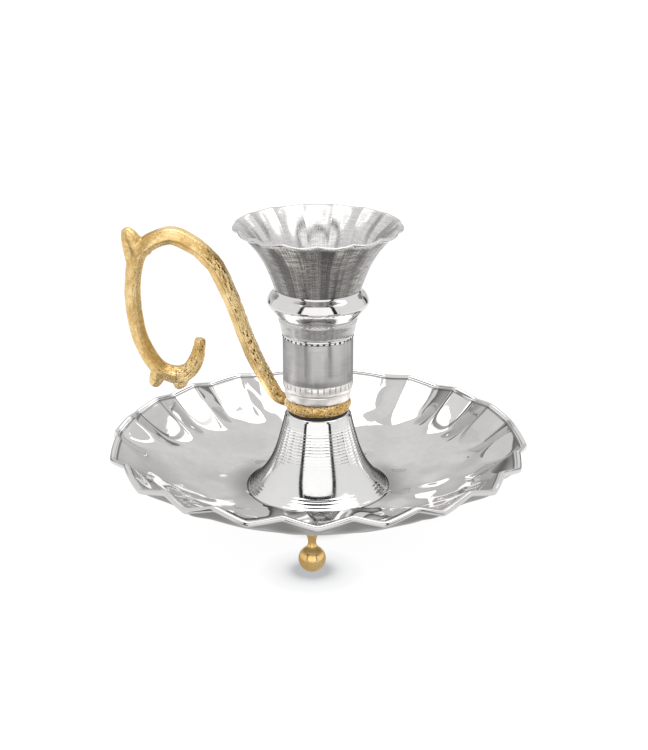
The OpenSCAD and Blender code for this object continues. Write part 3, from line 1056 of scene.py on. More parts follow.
def turn_piece(name: str, profile: Sequence[Pair], around: int = SPUN_SIDES,
               centre: Pair = (0.0, 0.0), solid: bool = False) -> bpy.types.Object:
    """Turns a closed profile in millimetres into a piece.

    Args:
        name: Name of the piece.
        profile: Radius and height of each point.
        around: Points in each ring.
        centre: Place of its axis, in metres.
        solid: Whether the ends of the profile lie on the axis.

    Returns:
        The new object.
    """
    line = np.array(profile) * MM
    if not solid:
        rings = turn_rings(line[:, 0], line[:, 1], around) + np.array([*centre, 0.0])
        return add_piece(name, rings.reshape(-1, 3), ring_faces(len(line), around, True))
    rings = turn_rings(line[1:-1, 0], line[1:-1, 1], around) + np.array([*centre, 0.0])
    ends = [(*centre, line[0, 1]), (*centre, line[-1, 1])]
    return add_piece(name, np.concatenate([rings.reshape(-1, 3), ends]), capped_faces(len(rings), around))


def join_pieces(name: str, parts: Sequence[bpy.types.Object]) -> bpy.types.Object:
    """Puts the meshes of several pieces into one object and removes the pieces.

    Args:
        name: Name of the joined piece.
        parts: The pieces.

    Returns:
        The joined piece.
    """
    work = bmesh.new()
    for part in parts:
        work.from_mesh(part.data)
    mesh = bpy.data.meshes.new(name)
    work.to_mesh(mesh)
    work.free()
    for part in parts:
        old = part.data
        bpy.data.objects.remove(part)
        bpy.data.meshes.remove(old)
    return place_object(name, mesh)


def smooth_line(points: Sequence[Sequence[float]], steps: int) -> np.ndarray:
    """Smooth curve through a list of points.

    Args:
        points: The points, of any size.
        steps: Steps in each span.

    Returns:
        The points of the curve.
    """
    p = np.array(points, float)
    last = len(p) - 1
    line = []
    for i in range(last):
        a, b, c, d = p[max(i - 1, 0)], p[i], p[i + 1], p[min(i + 2, last)]
        for t in np.arange(steps) / steps:
            line.append(b + (c - a) * t / 2 + (2 * a - 5 * b + 4 * c - d) * t ** 2 / 2
                        + (3 * b - a - 3 * c + d) * t ** 3 / 2)
    return np.array(line + [p[-1]])


def store(piece: bpy.types.Object, name: str, values: np.ndarray) -> None:
    """Stores a number or a vector at each corner of a piece.

    Args:
        piece: The piece.
        name: Name of the attribute.
        values: One row for each corner.
    """
    kind = "FLOAT_VECTOR" if values.ndim == 2 else "FLOAT"
    attribute = piece.data.attributes.new(name, kind, "POINT")
    attribute.data.foreach_set("vector" if values.ndim == 2 else "value", values.astype(np.float32).ravel())


def by_turn(marks: Sequence[Pair], turns: np.ndarray) -> np.ndarray:
    """Reads a value at each turn, between marks that hold a turn in degrees and its value."""
    return np.interp(turns, *zip(*marks))


def keep(piece: bpy.types.Object, slot: Slot, material: bpy.types.Material | None, *nodes: str) -> None:
    """Puts a piece on the body, with its material and what it stands for.

    Args:
        piece: The finished piece.
        slot: The record's slot; not used.
        material: Its material, or None where it already has it.
        nodes: CAD nodes that it replaces.
    """
    if material is not None:
        piece.data.materials.clear()
        piece.data.materials.append(material)
    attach(piece, "root")
    if nodes:
        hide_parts(*nodes)
    log.info("%s: %d faces", piece.name, len(piece.data.polygons))


# Sub-assemblies, with their sizes in millimetres


@dataclass(frozen=True)
class Levels:
    """Heights over the floor that the sub-assemblies share."""

    dish: float = 17.08
    dish_floor: float = 18.48
    bell_top: float = 52.48
    eye: float = 53.28
    sleeve: float = 58.88
    sleeve_floor: float = 59.88
    ferrule: float = 87.88
    collar: float = 94.88
    neck: float = 106.88


LEVEL = Levels()


@dataclass
class Dish:
    """Fluted, hammered dish with a bead along its rim.

    The tables that run round the dish hold a turn in degrees and, where they have a
    second number, its value there.
    """

    floor_r: float = 32.0
    arc_r: float = 80.915
    lean: float = 42.7
    thick: float = 1.4
    bead_r: float = 1.25
    bead_start: float = 0.985
    bead_swing: Pair = (-40.0, 220.0)
    hole_r: float = ROD_HOLE_R
    under_rings: Sequence[float] = (12.0, 17.0, 22.0, 25.0, 28.0)
    floor_rings: Pair = (31.0, 13.0)
    dent_depth: float = 1.0
    dents_per_metre: float = 88.0
    front_dents: float = 1.1
    front_turn: float = 0.35
    flute_depth: float = 3.6
    flute_run: float = 0.24
    flute_crisp: float = 0.985
    flute_soft: float = 0.35
    flute_ease: float = 1.5
    flute_starts: Sequence[Pair] = (
        (0.0, 0.74), (60.0, 0.74), (96.0, 0.60), (110.0, 0.52), (180.0, 0.50), (245.0, 0.50), (262.0, 0.68),
        (300.0, 0.74), (360.0, 0.74))
    flute_shares: Sequence[Pair] = (
        (0.0, 1.0), (152.0, 1.0), (164.0, 0.35), (198.0, 0.35), (209.0, 1.0), (360.0, 1.0))
    # strength of the painted dark line along the panel folds at each turn
    fold_shade_strength: Sequence[Pair] = (
        (112.0, 0.0), (116.0, 0.7), (121.0, 0.8), (134.0, 1.0), (141.0, 0.9), (143.0, 0.0),
        (212.0, 0.0), (216.0, 0.35), (228.0, 0.6), (250.0, 0.9), (254.0, 0.0))
    around: int = 640
    tips: Sequence[float] = (
        0.0, 17.0, 33.5, 53.0, 70.0, 87.0, 106.0, 125.0, 141.0, 159.5,
        178.0, 196.5, 215.0, 230.0, 247.0, 263.0, 283.0, 306.0, 324.0, 342.0)
    ridges: Sequence[float] = (
        9.0, 26.8, 44.7, 61.4, 77.5, 96.0, 115.5, 132.7, 150.0, 169.0,
        187.0, 205.5, 222.5, 238.5, 255.0, 272.0, 293.0, 315.2, 332.2, 351.0)

    def flute_phase(self) -> np.ndarray:
        """Finds the place in its flute of each point round the dish.

        Returns:
            A whole number at a tip and a half more at a ridge.
        """
        turns = np.arange(self.around) * FULL_TURN / self.around
        marks = np.array([m for pair in zip(self.tips, self.ridges) for m in pair] + [FULL_TURN])
        return np.interp(turns, marks, np.arange(len(marks)) / 2.0)

    def panel_place(self) -> np.ndarray:
        """Finds the place of each point across the nearest panel that faces forwards.

        Returns:
            0 in the middle of a panel and 1 at its folds.
        """
        phase = self.flute_phase() % 1.0
        middle = np.where(np.arange(self.around) < self.around / 2, 0.25, 0.75)
        return np.abs((phase - middle + 0.5) % 1.0 - 0.5) * 4.0

    def rings(self) -> tuple[np.ndarray, np.ndarray, np.ndarray]:
        """Rings of the plain turned dish.

        Returns:
            Radius and height of each ring; its slope; its share of the wall and of the
            dents. The rings run from the hole outwards underneath and back on top.
        """
        edge = math.radians(self.lean)
        rows = []

        def wall(lean: float, lift: float, dent: float) -> None:
            """Adds a ring of the curved wall.

            Args:
                lean: Slope of the wall there.
                lift: Distance over the underside.
                dent: Share of the dents.
            """
            rows.append((self.floor_r + (self.arc_r - lift) * math.sin(lean),
                         LEVEL.dish + self.arc_r * (1 - math.cos(lean)) + lift * math.cos(lean),
                         lean, lean / edge, dent))

        def floor(radius: float, lift: float, dent: float) -> None:
            """Adds a ring of the flat floor."""
            rows.append((radius, LEVEL.dish + lift, 0.0, 0.0, dent))

        for radius in (self.hole_r, *self.under_rings):
            floor(radius, 0.0, 0.0)
        for lean in np.linspace(0.0, edge * self.bead_start, 40):
            wall(lean, 0.0, 0.5)
        mid_r = self.floor_r + self.arc_r * math.sin(edge)
        mid_z = LEVEL.dish + self.arc_r * (1 - math.cos(edge))
        for swing in np.radians(np.linspace(*self.bead_swing, 14)):
            tip = self.thick / 2 - self.bead_r * math.cos(swing)
            along = self.bead_r * math.sin(swing)
            rows.append((mid_r - tip * math.sin(edge) + along * math.cos(edge),
                         mid_z + tip * math.cos(edge) + along * math.sin(edge), edge, 1.0, 0.0))
        for lean in np.linspace(edge * self.bead_start, 0.0, 64):
            wall(lean, self.thick, 1.5 - lean / edge * 0.5)
        for radius in np.linspace(*self.floor_rings, 16):
            floor(radius, self.thick, 0.5)
        floor(self.hole_r, self.thick, 0.0)
        table = np.array(rows)
        return table[:, :2], table[:, 2], table[:, 3:]

    def build(self, trees: Trees, steel: bpy.types.Material) -> None:
        """Makes the dish.

        Args:
            trees: The geometry trees.
            steel: Polished steel of the sheet.
        """
        profile, leans, shares = self.rings()
        points = turn_rings(profile[:, 0] * MM, profile[:, 1] * MM, self.around)
        turns = np.arange(self.around) * math.tau / self.around
        push = turn_rings(-np.sin(leans), np.cos(leans), self.around)
        dish = add_piece("dish_sheet", points.reshape(-1, 3), ring_faces(len(leans), self.around, True))
        store(dish, "push", push.reshape(-1, 3))
        front = 1.0 + self.front_dents * np.clip(np.cos(turns - self.front_turn), 0.0, 1.0)
        degrees = np.degrees(turns)
        for name, values in (
                ("phase", self.flute_phase()), ("start", by_turn(self.flute_starts, degrees)),
                ("deep", by_turn(self.flute_shares, degrees)), ("panel", self.panel_place()),
                ("fold_shade", by_turn(self.fold_shade_strength, degrees))):
            store(dish, name, np.tile(values, len(leans)))
        store(dish, "rise", np.repeat(shares[:, 0], len(turns)))
        store(dish, "dent", (shares[:, 1:2] * front[None, :]).ravel())
        grow(dish, trees.flutes, Depth=self.flute_depth * MM, Run=self.flute_run,
             Crispness=self.flute_crisp, Softness=self.flute_soft, Ease=self.flute_ease,
             Dent_Depth=self.dent_depth * MM, Dents_per_Metre=self.dents_per_metre, Seed=4.0, Material=steel)
        keep(dish, Slot.POLISHED, None, "dish")


@dataclass
class BellBase:
    """Spun bell with lathe rings and fine beads at its lip, on the floor of the dish."""

    foot_r: float = 30.5
    top_r: float = 13.8
    height: float = 34.0
    thick: float = 1.2
    hollow_share: float = 1.15
    cone_share: float = 0.46
    flare_power: float = 4.0
    round_r: float = 1.2
    hole_r: float = ROD_HOLE_R
    ring_pitch: float = 1.25
    ring_depth: float = 0.034
    ring_band: Pair = (13.0, 30.5)
    ring_ease: float = 3.0
    ring_step: float = 0.13
    lip: Pair = (0.8, 5.0)
    lip_beads: Sequence[float] = (1.6, 2.7, 3.8)
    bead_rise: float = 0.055
    bead_width: float = 0.28

    def radius(self, height: float) -> float:
        """Radius of the plain bell.

        Args:
            height: Height over the dish.

        Returns:
            The radius of its outside there.
        """
        left = 1.0 - height / self.height
        spread = self.foot_r - self.top_r
        return (self.top_r + spread * self.cone_share * left
                + spread * (1 - self.cone_share) * left ** self.flare_power)

    def ripple(self, height: float) -> float:
        """Rise of the lathe rings and of the lip's beads.

        Args:
            height: Height over the dish.

        Returns:
            How far the outside stands out there.
        """
        low, high = self.ring_band
        ease = min(1.0, max(0.0, min(height - low, high - height) / self.ring_ease))
        uneven = 0.65 + 0.5 * noise.noise(Vector((round(height / self.ring_pitch) * 1.7, 0.4, 2.9)))
        rings = self.ring_depth * uneven * ease * math.cos(math.tau * height / self.ring_pitch)
        beads = sum(self.bead_rise * math.exp(-((height - b) / self.bead_width) ** 2) for b in self.lip_beads)
        return rings + beads

    def build(self, steel: bpy.types.Material) -> None:
        """Makes the bell.

        Args:
            steel: Spun steel of the bell.
        """
        base, top = LEVEL.dish_floor, LEVEL.bell_top
        low, high = self.ring_band
        steps = np.concatenate([
            np.linspace(*self.lip, 36), np.linspace(5.3, low, 8),
            np.arange(low + self.ring_step, high, self.ring_step),
            np.linspace(high, self.height - self.round_r, 14)])
        outside = [(self.foot_r - 0.15, base), (self.foot_r, base + 0.15), (self.foot_r, base + 0.45)]
        outside += [(self.radius(h) + self.ripple(h), base + h) for h in steps]
        outside += [(self.top_r - self.round_r * (1 - math.cos(a)), top - self.round_r * (1 - math.sin(a)))
                    for a in np.radians([15, 30, 45, 60, 75, 90])]
        inside = [(self.radius(h) - self.thick * self.hollow_share, base + h)
                  for h in np.linspace(self.height - self.thick, 0.0, 30)]
        profile = outside + [(self.hole_r, top), (self.hole_r, top - self.thick)] + inside
        keep(turn_piece("bell_shell", profile), Slot.POLISHED, steel, "bell_base")


@dataclass(frozen=True)
class CupFinishes:
    """Materials of the candle cup.

    Attributes:
        tube: Satin steel of the tube.
        heel: Pale satin steel of the heel.
        bright: Bright steel of the groove and of the ferrule's beads.
        soft: Satin steel of the ferrule and of the ticks.
        dark: Near-black steel of the row of dots under the ferrule, painted shade where the dots read dark.
    """

    tube: bpy.types.Material
    heel: bpy.types.Material
    bright: bpy.types.Material
    soft: bpy.types.Material
    dark: bpy.types.Material


@dataclass
class CandleCup:
    """Sleeve with its rows of marks, and the flared ferrule on it."""

    sleeve_r: float = 14.75
    heel_r: float = 13.7
    wall: float = 1.0
    hole_r: float = ROD_HOLE_R
    heel_height: float = 8.6
    spigot_gap: float = 0.1
    tick_count: int = 36
    tick_rise: float = 7.1
    tick_half: Triple = (0.36, 0.2, 1.5)
    dot_count: int = 38
    dot_drop: float = 1.45
    dot_half: Triple = (0.62, 0.28, 0.56)
    bead_count: int = 46
    bead_rise: float = 6.35
    bead_half: Triple = (0.72, 0.34, 0.42)

    def build(self, trees: Trees, finishes: CupFinishes) -> None:
        """Makes the sleeve, its marks and the ferrule.

        Args:
            trees: The geometry trees.
            finishes: The materials of the cup.
        """
        r, seam = self.sleeve_r, LEVEL.sleeve + self.heel_height
        keep(turn_piece("cup_heel", self.heel_outline(seam)), Slot.POLISHED, finishes.heel, "cup_sleeve")
        keep(turn_piece("cup_tube", self.tube_outline(seam)), Slot.POLISHED, finishes.tube, "cup_sleeve")
        groove = [(r - 0.2, LEVEL.ferrule - 1.95), (r + 0.03, LEVEL.ferrule - 1.9), (r + 0.03, LEVEL.ferrule),
                  (r - 0.2, LEVEL.ferrule)]
        keep(turn_piece("bead_groove", groove), Slot.POLISHED, finishes.bright)
        self.marks("heel_ticks", trees, finishes.soft, self.tick_count, r - 0.02,
                   LEVEL.sleeve + self.tick_rise, self.tick_half, 3)
        # painted shade: the dots are near-black where they read dark
        self.marks("stop_beads", trees, finishes.dark, self.dot_count, r - 0.06,
                   LEVEL.ferrule - self.dot_drop, self.dot_half, 7)
        keep(turn_piece("ferrule_shell", self.ferrule_outline()), Slot.POLISHED, finishes.soft,
             "ferrule_ring")
        self.marks("ferrule_beads", trees, finishes.bright, self.bead_count, r + 1.5,
                   LEVEL.ferrule + self.bead_rise, self.bead_half, 5)

    def heel_outline(self, seam: float) -> list[Pair]:
        """Profile of the heel.

        Args:
            seam: Height at which the tube goes on from it.

        Returns:
            The closed outline.
        """
        base, r, heel = LEVEL.sleeve, self.sleeve_r, self.heel_r
        return [
            (self.hole_r, base), (heel - 0.7, base), (heel - 0.35, base + 0.12), (heel - 0.12, base + 0.45),
            (heel + 0.1, base + 1.3), (heel + 0.3, base + 2.4), (heel + 0.45, base + 3.3),
            (heel + 0.47, base + 3.65), (heel + 0.30, base + 3.8), (heel + 0.30, base + 3.95),
            (heel + 0.52, base + 4.1), (heel + 0.8, base + 4.7), (heel + 0.95, base + 5.4), (r, base + 6.2),
            (r, seam), (r - self.wall, seam), (r - self.wall, base + 6.0),
            (heel - self.wall, base + 3.0), (heel - self.wall, LEVEL.sleeve_floor),
            (self.hole_r, LEVEL.sleeve_floor)]

    def tube_outline(self, seam: float) -> list[Pair]:
        """Profile of the tube.

        Args:
            seam: Height at which it stands on the heel.

        Returns:
            The closed outline.
        """
        base, top, r = LEVEL.sleeve, LEVEL.collar, self.sleeve_r
        return [
            (r - self.wall, seam), (r, seam), (r, base + 14.0), (r, base + 20.0), (r, LEVEL.ferrule - 2.3),
            (r - 0.14, LEVEL.ferrule - 2.15), (r - 0.14, LEVEL.ferrule), (r - 0.14, top - 0.1),
            (r - 0.24, top), (r - self.wall, top)]

    def ferrule_outline(self) -> list[Pair]:
        """Profile of the ferrule, round the top of the tube.

        Returns:
            The closed outline.
        """
        bore = self.sleeve_r + self.spigot_gap
        flare = [(0.30, 0.0), (0.52, 0.25), (0.75, 1.1), (0.98, 2.2), (1.22, 3.4), (1.5, 4.5), (1.68, 5.3),
                 (1.72, 5.6), (1.58, 5.75), (1.55, 6.9), (1.7, 7.0)]
        outside = [(self.sleeve_r + x, LEVEL.ferrule + z) for x, z in smooth_line(flare, 3).tolist()]
        return [(bore, LEVEL.ferrule)] + outside + [(bore, LEVEL.collar)]

    @staticmethod
    def marks(name: str, trees: Trees, steel: bpy.types.Material, count: int, radius: float,
              height: float, half: Triple, seed: int) -> None:
        """Makes a row of small raised marks round the cup.

        Args:
            name: Name of the row.
            trees: The geometry trees.
            steel: Material of the marks.
            count: Number of marks.
            radius: Radius of the row.
            height: Height of its middle.
            half: Half sizes of a mark: along the row, outwards and upwards.
            seed: Fixed seed of the size jitter.
        """
        work = bmesh.new()
        bmesh.ops.create_uvsphere(work, u_segments=10, v_segments=6, radius=MM)
        for corner in work.verts:
            corner.co = Vector((corner.co.x * half[0], corner.co.y * half[1], corner.co.z * half[2]))
        mesh = bpy.data.meshes.new(name)
        work.to_mesh(mesh)
        work.free()
        row = place_object(name, mesh)
        grow(row, trees.marks, Count=count, Radius=radius * MM, Height=height * MM,
             Size_Jitter=0.12, Seed=seed, Material=steel)
        keep(row, Slot.POLISHED, None)


@dataclass
class Collar:
    """Bulging collar between the ferrule and the trumpet."""

    low_r: float = 16.5
    bulge_r: float = 21.4
    neck_r: float = 18.0
    thick: float = 1.0
    bore_r: float = 16.1
    height: float = 12.0

    def build(self, steel: bpy.types.Material) -> None:
        """Makes the collar.

        Args:
            steel: Bright steel of the collar.
        """
        low = [(0.0, 0.02), (0.05, 0.13), (0.10, 0.27), (0.24, 0.57), (0.38, 0.83), (0.48, 0.97), (0.54, 1.0)]
        high = [(0.60, 0.95), (0.68, 0.82), (0.79, 0.58), (0.89, 0.26), (0.95, 0.08), (1.0, 0.0)]
        line = []
        for start, shares in ((self.low_r, low), (self.neck_r, high)):
            line += [(start + (self.bulge_r - start) * s, LEVEL.collar + self.height * h) for h, s in shares]
        outside = smooth_line(line, 5).tolist()
        inside = [(max(x - self.thick, self.bore_r), z) for x, z in reversed(outside)]
        keep(turn_piece("collar_shell", outside + inside), Slot.POLISHED, steel, "collar_bead")


@dataclass
class Trumpet:
    """Petalled trumpet with the spigot that holds it."""

    neck_r: float = 18.0
    flare: float = 17.2
    height: float = 26.0
    cone_share: float = 0.54
    flare_power: float = 3.3
    thick: float = 1.0
    lip_r: float = 0.7
    facing: float = 35.0
    petals: int = 15
    petal_depth: float = 1.2
    petal_start: float = 0.28
    outer_start: float = 0.76
    petal_ease: float = 1.9
    lip_roll: float = 0.6
    roll_start: float = 0.91
    spigot: Pair = (14.9, 16.0)
    wall_rings: int = 42
    lip_rings: int = 4
    around: int = 480

    def radius(self, share: float) -> float:
        """Radius of the outside at a share of the height."""
        return self.neck_r + self.flare * (self.cone_share * share
                                           + (1 - self.cone_share) * share ** self.flare_power)

    def rings(self) -> np.ndarray:
        """Rings of the plain turned trumpet, up its outside and down its inside.

        Returns:
            For each ring its radius, height, slope and share of the petals.
        """
        edge = self.lip_r / self.height
        rows = []

        def ring(share: float, depth: float, start: float) -> None:
            """Adds a ring.

            Args:
                share: Its share of the height.
                depth: Its distance in from the outside.
                start: Share of the height at which the petals begin.
            """
            tilt = math.radians(self.facing * share)
            rows.append((self.radius(share) - depth * math.cos(tilt),
                         LEVEL.neck + self.height * share + depth * math.sin(tilt), tilt,
                         max(0.0, (share - start) / (1.0 - start))))

        roll = 1.0 - self.roll_start - edge
        for share in np.linspace(0.0, 1.0 - edge, self.wall_rings):
            rolled = max(0.0, (share - self.roll_start) / roll)
            ring(share, -self.lip_roll * rolled, self.outer_start)
        for swing in np.radians(np.linspace(15.0, 165.0, 7)):
            ring(1.0 - edge + edge * math.sin(swing),
                 (self.thick + self.lip_roll) * (1 - math.cos(swing)) / 2 - self.lip_roll, self.petal_start)
        for share in np.linspace(1.0 - edge, 0.0, self.wall_rings):
            ring(share, self.thick, self.petal_start)
        return np.array(rows)

    def build(self, trees: Trees, brushed: bpy.types.Material, inner: bpy.types.Material) -> None:
        """Makes the trumpet and its spigot.

        Args:
            trees: The geometry trees.
            brushed: Steel of the outside, darker than the inside with painted shade and painted dark streaks.
            inner: Steel of the lip and the inside, lighter than the outside.
        """
        table = self.rings()
        points = turn_rings(table[:, 0] * MM, table[:, 1] * MM, self.around)
        push = turn_rings(-np.cos(table[:, 2]), np.sin(table[:, 2]), self.around)
        shell = add_piece("trumpet_sheet", points.reshape(-1, 3), ring_faces(len(table), self.around, True))
        corners = len(table) * self.around
        store(shell, "push", push.reshape(-1, 3))
        store(shell, "phase", np.tile(np.arange(self.around) / self.around * self.petals % 1.0, len(table)))
        store(shell, "rise", np.repeat(table[:, 3], self.around))
        store(shell, "start", np.zeros(corners))
        store(shell, "deep", np.ones(corners))
        store(shell, "dent", np.zeros(corners))
        grow(shell, trees.flutes, Depth=self.petal_depth * MM, Run=1.0, Ease=self.petal_ease, Scalloped=1.0,
             Seed=2.0, Material=brushed)
        # painted shade: the outside is a darker steel than the inside of the same sheet
        shell.data.materials.append(inner)
        bands = np.arange(len(shell.data.polygons)) // self.around
        inside = (bands > self.wall_rings - self.lip_rings) & (bands < len(table) - 1)
        shell.data.polygons.foreach_set("material_index", inside.astype(np.int32))
        keep(shell, Slot.BRUSHED, None, "trumpet")
        keep(turn_piece("trumpet_spigot", self.spigot_outline(), 120), Slot.BRUSHED, brushed, "trumpet")

    def spigot_outline(self) -> list[Pair]:
        """Profile of the spigot, up to the floor of the trumpet.

        Returns:
            The closed outline.
        """
        low, high = LEVEL.collar, LEVEL.neck
        bore, outer = self.spigot
        return [(bore, low), (outer, low), (outer, high), (self.neck_r - 0.6, high),
                (self.neck_r - 0.9, high + 0.6), (bore, high + 1.0)]


@dataclass
class Handle:
    """Cast twig handle: eye, rising bar, loop, curled end and spurs.

    The polished steel doesn't mirror it, so that its gold stays off the bell and the dish.
    """

    reach: float = 76.65
    middle: float = 56.08
    rise: float = 72.65
    width: float = 8.0
    depth: float = 7.4
    spur_depth: float = 0.85
    eye_r: float = 14.0
    eye_bore: float = ROD_HOLE_R
    voxel: float = 0.42
    bar_sides: int = 36
    spur_sides: int = 24
    way: Sequence[Pair] = (
        (0.147, 0.004), (0.210, 0.030), (0.256, 0.093), (0.299, 0.180), (0.352, 0.293),
        (0.404, 0.435), (0.464, 0.617), (0.540, 0.803), (0.590, 0.872), (0.660, 0.940),
        (0.772, 1.000), (0.862, 0.982), (0.935, 0.933), (0.979, 0.850), (0.998, 0.706),
        (0.996, 0.575), (0.974, 0.424), (0.927, 0.300), (0.866, 0.212), (0.785, 0.172),
        (0.711, 0.193), (0.667, 0.262), (0.648, 0.336), (0.641, 0.395))
    thick: Sequence[float] = (
        0.68, 0.76, 0.86, 0.90, 0.92, 0.92, 0.95, 1.00, 1.00, 1.02, 1.05, 1.03,
        1.00, 1.00, 1.00, 1.00, 1.00, 0.98, 1.00, 1.06, 1.02, 0.94, 0.72, 0.74)
    spurs: Sequence[tuple[Pair, Pair, float, float]] = (
        ((0.958, 0.872), (1.028, 1.046), 1.50, 0.80),
        ((0.862, 0.220), (0.902, 0.100), 0.90, 0.76),
        ((0.745, 0.190), (0.765, 0.086), 1.00, 0.78))
    corners: Sequence[Pair] = (
        (20.0, 0.93), (78.0, 1.08), (140.0, 0.95), (205.0, 1.0), (262.0, 0.98), (318.0, 1.0))
    corner_width: float = 30.0
    hollow: float = 0.13
    wobble: float = 0.05
    grain_depth: float = 0.20
    grain_scale: float = 0.9
    grain_stretch: float = 0.6
    eye_stretch: float = 0.8
    spur_off: float = 5.0
    swell_depth: float = 0.09
    swells_per_metre: float = 190.0

    def on_loop(self, share: Sequence[float]) -> np.ndarray:
        """Point of the loop's plane, in millimetres, from shares of reach and rise."""
        return np.array([-self.reach * share[0], self.middle + self.rise * share[1]])

    def section(self) -> np.ndarray:
        """Facetted section of the bar.

        Returns:
            The share of its radius at each side.
        """
        turns = np.arange(self.bar_sides) * FULL_TURN / self.bar_sides
        marks, sizes = zip(*self.corners)
        half = FULL_TURN / 2
        flat = np.array([min(abs((t - m + half) % FULL_TURN - half) for m in marks) for t in turns])
        size = np.interp(turns, marks, sizes, period=FULL_TURN)
        quarter = np.minimum(flat, self.corner_width) * 90.0 / self.corner_width
        return size * (1.0 - self.hollow * np.sin(np.radians(quarter)))

    def bar(self, name: str, line: np.ndarray, widths: np.ndarray, depths: np.ndarray,
            section: np.ndarray) -> bpy.types.Object:
        """Bar along a line in the loop's plane.

        Args:
            name: Name of the piece.
            line: Middle of the bar at each step, in millimetres.
            widths: Width of the bar in the plane.
            depths: Width of the bar across the plane.
            section: Radius share at each side of its section.

        Returns:
            The closed bar.
        """
        ways = np.gradient(line, axis=0)
        ways /= np.linalg.norm(ways, axis=1)[:, None]
        sides = len(section)
        turns = np.arange(sides) * math.tau / sides
        rings = np.empty((len(line), sides, 3))
        reach = widths[:, None] / 2 * np.cos(turns) * section
        rings[..., 0] = line[:, 0:1] - ways[:, 1:2] * reach
        rings[..., 1] = -depths[:, None] / 2 * np.sin(turns) * section
        rings[..., 2] = line[:, 1:2] + ways[:, 0:1] * reach
        faces: list = ring_faces(len(line), sides, False)
        faces += [tuple(range(sides)), tuple(range((len(line) - 1) * sides, len(line) * sides))[::-1]]
        return add_piece(name, rings.reshape(-1, 3) * MM, faces)

    def build(self, gold: bpy.types.Material) -> None:
        """Makes the handle: parts are joined, fused, then worked over like a casting.

        Args:
            gold: Gold plate of the casting.
        """
        line = smooth_line([self.on_loop(s) for s in self.way], 8)
        parts = [self.twig(line)] + [self.spur(*spur) for spur in self.spurs]
        parts.append(turn_piece("handle_eye", self.eye_outline(), 144))
        handle = join_pieces("handle_casting", parts)
        remesh = handle.modifiers.new("fuse", "REMESH")
        remesh.mode = "VOXEL"
        remesh.voxel_size = self.voxel * MM
        soften = handle.modifiers.new("soften", "SMOOTH")
        soften.iterations = 3
        settle(handle)
        self.work_over(handle, line)
        handle.visible_glossy = False
        keep(handle, Slot.CAST_GOLD, gold, "handle")

    def twig(self, line: np.ndarray) -> bpy.types.Object:
        """Bar of the loop, a little uneven and rounded off at its curled end.

        Args:
            line: Middle of the bar, in millimetres.

        Returns:
            The closed bar.
        """
        thick = smooth_line([[t] for t in self.thick], 8)[:, 0]
        uneven = np.array([noise.noise(Vector((i * 0.11, 0.3, 1.7))) for i in range(len(line))])
        thick = thick * (1.0 + self.wobble * uneven)
        end_steps, past_end = 5, 5.6
        taper = np.ones(len(line))
        taper[-end_steps:] = np.sqrt(1.0 - (np.arange(1, end_steps + 1) / past_end) ** 2)
        return self.bar("handle_bar", line, self.width * thick * taper, self.depth * thick * taper,
                        self.section())

    def spur(self, start: Pair, end: Pair, wide: float, thin: float) -> bpy.types.Object:
        """Short rounded spur that grows out of the bar.

        Args:
            start: Its root, as shares of reach and rise.
            end: Its tip, likewise.
            wide: Its width at the root, as a share of the bar's.
            thin: Its width at the tip.

        Returns:
            The closed spur.
        """
        us = np.sin(np.radians(np.linspace(0.0, 90.0, 12)))
        a, b = self.on_loop(start), self.on_loop(end)
        tip_width, tip_power = 0.3, 4
        round_off = tip_width + (1.0 - tip_width) * np.sqrt(1.0 - us ** tip_power)
        spur = (wide + (thin - wide) * us) * round_off
        return self.bar("handle_spur", np.array([a + (b - a) * u for u in us]), self.width * spur,
                        self.depth * np.minimum(spur, self.spur_depth), np.ones(self.spur_sides))

    def eye_outline(self) -> list[Pair]:
        """Profile of the eye that is clamped on the bell.

        Returns:
            The closed outline.
        """
        low, top, r = LEVEL.eye, LEVEL.sleeve, self.eye_r
        return [
            (self.eye_bore, low), (r - 2.3, low), (r - 1.2, low + 0.35), (r - 0.4, low + 1.15),
            (r, low + 2.3), (r, top - 2.3), (r - 0.35, top - 1.1), (r - 1.1, top - 0.35), (r - 2.1, top),
            (self.eye_bore, top)]

    def work_over(self, handle: bpy.types.Object, line: np.ndarray) -> None:
        """Gives the casting the lie of its grain and its rough skin.

        Args:
            handle: The fused casting.
            line: Middle of the bar, in millimetres.
        """
        mesh = handle.data
        points, normals = (np.empty(len(mesh.vertices) * 3) for _ in range(2))
        mesh.vertices.foreach_get("co", points)
        mesh.vertices.foreach_get("normal", normals)
        points, normals = points.reshape(-1, 3), normals.reshape(-1, 3)
        lay, crust = self.grain(points, line)
        lift = np.array([noise.fractal(Vector(p * self.grain_scale), 1.0, 2.1, 3) for p in lay])
        broad = np.array([noise.noise(Vector(p * self.swells_per_metre)) for p in points])
        points += normals * ((lift * crust * self.grain_depth + broad * self.swell_depth) * MM)[:, None]
        mesh.vertices.foreach_set("co", points.ravel())
        mesh.update()
        store(handle, "lay", lay * MM)
        store(handle, "crust", crust)

